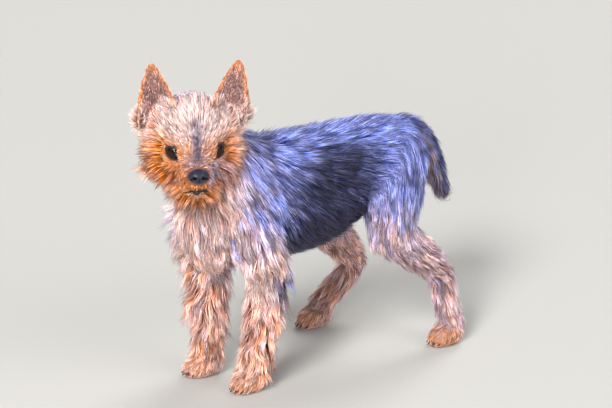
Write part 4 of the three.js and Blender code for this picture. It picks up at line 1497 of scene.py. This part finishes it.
# %% The coat
REGIONS = {
    "head": ("skull", "cheek", "temple", "muzzle", "jaw"),
    "neck": ("neck", "chest"),
    "trunk": ("torso",),
    "forelegs": ("upper_arm", "forearm", "paw_front"),
    "hindlegs": ("thigh", "shank", "hock", "paw_hind"),
    "tail": ("tail",),
}
KEPT_STEPS = {"wavy": np.array([0, 2, 4, 6, 8]), "straight": np.array([0, 3, 5, 8])}
WAVY = 1.75
PIECE_LIMIT = 190_000
region_of = np.zeros(HAIRS, int)
for number, parts in enumerate(REGIONS.values()):
    member = np.array([name.startswith(parts) for name in names])
    region_of[member[root_part]] = number
region_of[root_ear > 0.5] = 0
wavy = root_fields["curl"] > WAVY
triangle_total = 0
for number, region in enumerate(REGIONS):
    for kind, rows in KEPT_STEPS.items():
        picked = np.where((region_of == number) & (wavy == (kind == "wavy")))[0]
        if not len(picked):
            continue
        each = 6 * (len(rows) - 2) + 4
        pieces = int(np.ceil(len(picked) * each / PIECE_LIMIT))
        for part, group in enumerate(np.array_split(picked, pieces)):
            piece = hair_piece(f"coat_{region}_{kind}_{part + 1}", group, rows)
            triangle_total += len(group) * each
print("hair triangles", triangle_total, np.bincount(region_of))

# %% [markdown]
# An eye is a wet ball: a nearly black pupil in a dark brown iris, under a clear, slightly bulging
# cornea. The cornea could be a clear shell over a painted ball. Since the iris is so dark, one glossy
# ball is enough, with its rings drawn by the distance from the middle of the gaze. The white of the
# eye hardly shows in this breed.

# %% Eyes
PUPIL, IRIS = 2.2, 6.8
CORNEA_FROM, CORNEA_BULGE = 0.72, 0.06


def eye_material(side, name):
    """A cornea: living, clear and wiped wet by the lids, so it throws back sharp, small glints."""
    material, tree, shader = new_material(f"wet_cornea_{name}")
    coords = add_node(tree, "ShaderNodeTexCoord")
    look = unit(0.6 * back + 0.4 * GAZE[side])
    centre = place(EYES[side] + look * EYE_RADIUS)
    away = add_node(
        tree,
        "ShaderNodeVectorMath",
        {0: coords.outputs["Object"], 1: tuple(centre)},
        operation="DISTANCE",
    )
    ramp = add_node(
        tree,
        "ShaderNodeMapRange",
        {"Value": away.outputs["Value"], "From Min": PUPIL * MM, "From Max": IRIS * MM},
    )
    rings = add_node(tree, "ShaderNodeValToRGB", {"Fac": ramp.outputs["Result"]})
    stops = rings.color_ramp.elements
    stops[0].color = linear("080505")
    stops[1].color = linear("140B08")
    for position, colour in ((0.1, "32160A"), (0.5, "220F07"), (0.75, "080403")):
        stops.new(position).color = linear(colour)
    tree.links.new(rings.outputs["Color"], shader.inputs["Base Color"])
    shader.inputs["Roughness"].default_value = 0.05
    shader.inputs["IOR"].default_value = 1.3
    return material


def eye(side, name):
    sizes = {"segments": 48, "ring_count": 32}
    ball = start_from(bpy.ops.mesh.primitive_uv_sphere_add, f"eye_{name}_ball", **sizes)
    spots = spots_of(ball)
    across, up, gaze = eye_axes(side)
    bulge = 1 + CORNEA_BULGE * np.clip((spots[:, 2] - CORNEA_FROM) / (1 - CORNEA_FROM), 0, 1)
    shaped = (spots[:, :1] * across + spots[:, 1:2] * up + spots[:, 2:] * gaze) * bulge[:, None]
    move_spots(ball, EYES[side] + shaped * (EYE_RADIUS - 0.1))
    finish_piece(ball, eye_material(side, name), f"eye_{name}")


for side, name in SIDES:
    eye(side, name)
print("eye across", 2 * EYE_RADIUS, "mm")

# %% [markdown]
# The lids end in a bare, dark, moist rim. It could be painted on the skin, but it stands out a little
# and casts a fine shadow on the eye. It is a soft cord of skin along the almond, lying on the
# eyeball, so a torus is bent to that shape.

# %% Rims of the eyelids
RIM_GRAIN = 0.71
RIM_THICKNESS = 0.17


def dark_skin_material():
    """Bare dark skin: living, stretched thin and moist, which gives it a satin gloss."""
    material, tree, shader = new_material("bare_dark_skin")
    coords = add_node(tree, "ShaderNodeTexCoord")
    grain = add_node(
        tree,
        "ShaderNodeTexNoise",
        {"Vector": coords.outputs["Object"], "Scale": 1 / (RIM_GRAIN * MM), "Detail": 2.0},
    )
    tint = add_node(tree, "ShaderNodeValToRGB", {"Fac": grain.outputs["Fac"]})
    tint.color_ramp.elements[0].color = linear("0C0809")
    tint.color_ramp.elements[1].color = linear("1E1416")
    tree.links.new(tint.outputs["Color"], shader.inputs["Base Color"])
    shader.inputs["Roughness"].default_value = 0.45
    return material


dark_skin = dark_skin_material()


def lid_rim(side, name):
    sizes = {"major_segments": 56, "minor_segments": 10, "major_radius": 1.0}
    sizes["minor_radius"] = RIM_THICKNESS
    rim = start_from(bpy.ops.mesh.primitive_torus_add, f"lid_rim_{name}", **sizes)
    spots = spots_of(rim)
    around = np.arctan2(spots[:, 1], spots[:, 0])
    out = np.hypot(spots[:, 0], spots[:, 1]) - 1.0
    corner = 1 + 0.12 * np.abs(np.cos(around)) ** 8
    x = OPENING[0] * corner * np.cos(around) * (1 + 0.6 * out)
    y = OPENING[1] * np.sin(around) * (1 + 0.6 * out) + SLANT * side * x
    ahead = np.sqrt(np.maximum(EYE_RADIUS**2 - x**2 - y**2, 4.0)) + 3.0 * spots[:, 2] + 0.1
    across, up, gaze = eye_axes(side)
    move_spots(rim, EYES[side] + x[:, None] * across + y[:, None] * up + ahead[:, None] * gaze)
    face_outwards()
    finish_piece(rim, dark_skin)


for side, name in SIDES:
    lid_rim(side, name)
print("opening of an eye", OPENING, "mm each way")

# %% [markdown]
# The nose is a broad pad of bare, pebbled leather with two comma-shaped nostrils and a groove down
# its middle. The nostrils could be cut out with other shapes. The pad is sculpted from a fine ball
# instead: each spot is moved by a few smooth dents, which leaves no hard edge, as in flesh.

# %% Nose
NOSE_SIZE = (8.7, 6.8, 6.6)
NOSE_CENTRE = (0, NOSE_TIP + 5.2, -10.2)
PEBBLE = 0.91


def nose_material():
    """Nose leather: black bare skin, grown thick and cobbled, and licked wet, drawn a bluish dark grey.
    """
    material, tree, shader = new_material("wet_nose_leather")
    coords = add_node(tree, "ShaderNodeTexCoord")
    pebbles = add_node(
        tree,
        "ShaderNodeTexVoronoi",
        {"Vector": coords.outputs["Object"], "Scale": 1 / (PEBBLE * MM)},
        feature="SMOOTH_F1",
    )
    bumps = add_node(
        tree,
        "ShaderNodeBump",
        {"Height": pebbles.outputs["Distance"], "Strength": 0.55, "Distance": 0.35 * MM},
        invert=True,
    )
    # Painted shade: the nostrils, their slits and the middle groove are painted near black, and the
    # creases between the cobbles darker.
    cavity_shade = add_node(tree, "ShaderNodeAttribute", attribute_name="cavity_shade")
    deep = add_node(
        tree,
        "ShaderNodeMath",
        {0: cavity_shade.outputs["Fac"], 1: pebbles.outputs["Distance"]},
        operation="ADD",
    )
    tint = add_node(tree, "ShaderNodeValToRGB", {"Fac": deep.outputs["Value"]})
    tint.color_ramp.elements[0].color = linear("34344A")
    tint.color_ramp.elements[1].color = linear("040304")
    tree.links.new(tint.outputs["Color"], shader.inputs["Base Color"])
    tree.links.new(bumps.outputs["Normal"], shader.inputs["Normal"])
    shader.inputs["Roughness"].default_value = 0.3
    shader.inputs["IOR"].default_value = 1.4
    return material


def nose():
    sizes = {"segments": 96, "ring_count": 64}
    pad = start_from(bpy.ops.mesh.primitive_uv_sphere_add, "nose_pad", **sizes)
    ball = spots_of(pad)
    x, y, z = ball.T
    front = np.clip(-y, 0, 1)
    squared = 1 + 0.10 * np.abs(x) ** 2 * (1 - np.abs(z)) - 0.10 * np.clip(-z, 0, 1) * np.abs(x)
    shape = ball * np.array(NOSE_SIZE) * squared[:, None]
    nostril = bump(np.abs(x), 0.43, 0.16) * bump(z, 0.1, 0.2) * front
    slit = bump(np.abs(x), 0.72, 0.18) * bump(z, -0.08, 0.11) * step(-y, 0.0, 0.3)
    groove = bump(x, 0, 0.07) * step(-z, -0.45, 0.0) * front
    lobe = bump(np.abs(x), 0.42, 0.26) * bump(z, 0.5, 0.25) * front
    shape[:, 1] += 4.6 * nostril + 2.8 * slit + 1.1 * groove - 0.6 * lobe
    move_spots(pad, from_head(shape + NOSE_CENTRE))
    # Painted shade in the nostrils, their slits and the groove.
    cavity_shade = np.clip(1.3 * nostril + slit + 0.8 * groove, 0, 1)
    layer = pad.data.color_attributes.new("cavity_shade", "FLOAT_COLOR", "POINT")
    layer.data.foreach_set("color", np.column_stack([cavity_shade] * 3 + [np.ones_like(cavity_shade)]).ravel())
    finish_piece(pad, nose_material(), "nose")


nose()
print("nose", 2 * NOSE_SIZE[0], "mm wide")

# %% [markdown]
# The lips show as a dark line that dips at the corners of the mouth. They could be the edges of the
# groove in the skin, but hair grows there. Each is a soft roll of bare skin along the mouth instead,
# drawn out from a ball as the flesh was, and the hair parts round them.


# %% Lips
def lip(name, height, half, deep, inward):
    """A roll along the mouth, so much above it, and pulled in by a share of its length."""
    stations = []
    for x, y, z in MOUTH:
        thin = 1 - 0.055 * abs(x)
        stations.append((x * (1 - inward), y + inward * 8, z + height, half * thin, deep * thin, 0))
    form = Flesh(stations, head=True)
    form.side = head_way(0, 0, 1)
    roll = form.mesh(name, segments=14, rings=60)
    face_outwards()
    finish_piece(roll, dark_skin)


lip("upper_lip", 0.9, 1.2, 1.3, 0.0)
lip("lower_lip", -2.0, 2.2, 2.1, 0.2)
print("mouth", 2 * MOUTH[0, 0], "mm wide")

# %% [markdown]
# Each foot ends in four short dark claws that just show under the hair. A claw is a cone of horn,
# bent down at its point. It could be turned and then bent, but one formula over a ball does both at
# once, on each toe in its own direction.

# %% Claws
CLAW_LENGTH, CLAW_RADIUS, CLAW_DROP = 7.0, 1.5, 1.6
CLAW_STREAK = 1.43
TOES = (-6.5, -2.3, 2.3, 6.5)


def claw_material():
    """Claws: keratin, grown as horn and worn smooth on the ground, so they have a soft gloss."""
    material, tree, shader = new_material("keratin_claw")
    coords = add_node(tree, "ShaderNodeTexCoord")
    streaks = add_node(
        tree,
        "ShaderNodeTexNoise",
        {"Vector": coords.outputs["Object"], "Scale": 1 / (CLAW_STREAK * MM)},
    )
    tint = add_node(tree, "ShaderNodeValToRGB", {"Fac": streaks.outputs["Fac"]})
    tint.color_ramp.elements[0].color = linear("1C1412")
    tint.color_ramp.elements[1].color = linear("4A3530")
    tree.links.new(tint.outputs["Color"], shader.inputs["Base Color"])
    shader.inputs["Roughness"].default_value = 0.35
    return material


claw_keratin = claw_material()


def claw(name, root, way):
    """A claw that grows from a root in a direction."""
    sizes = {"segments": 12, "ring_count": 14}
    horn = start_from(bpy.ops.mesh.primitive_uv_sphere_add, name, **sizes)
    ball = spots_of(horn)
    share = (ball[:, 2] + 1) / 2
    side = unit(np.cross(way, UP))
    top = np.cross(side, way)
    taper = np.sqrt(np.clip(1 - share, 0, 1)) * CLAW_RADIUS
    ring = np.hypot(ball[:, 0], ball[:, 1])
    flat = ball[:, :2] / np.maximum(ring, 1e-6)[:, None] * np.minimum(ring * 3, 1)[:, None]
    spots = (
        root
        + way * (share * CLAW_LENGTH)[:, None]
        + side * (flat[:, 0] * taper)[:, None]
        + top * (flat[:, 1] * taper - CLAW_DROP * share**2)[:, None]
    )
    spots[:, 2] = np.maximum(spots[:, 2], 0.3)
    move_spots(horn, spots)
    face_outwards()
    finish_piece(horn, claw_keratin)


for name, form in flesh.items():
    if not name.startswith("paw"):
        continue
    toe = form.stations[-1, :3]
    for number, offset in enumerate(TOES):
        root = toe + (offset, -3.5 + 0.08 * offset**2, -0.5)
        claw(f"claw_{name}_{number + 1}", root, unit(np.array([0.036 * offset, -1.0, -0.35])))
print("claws", 4 * len(TOES))
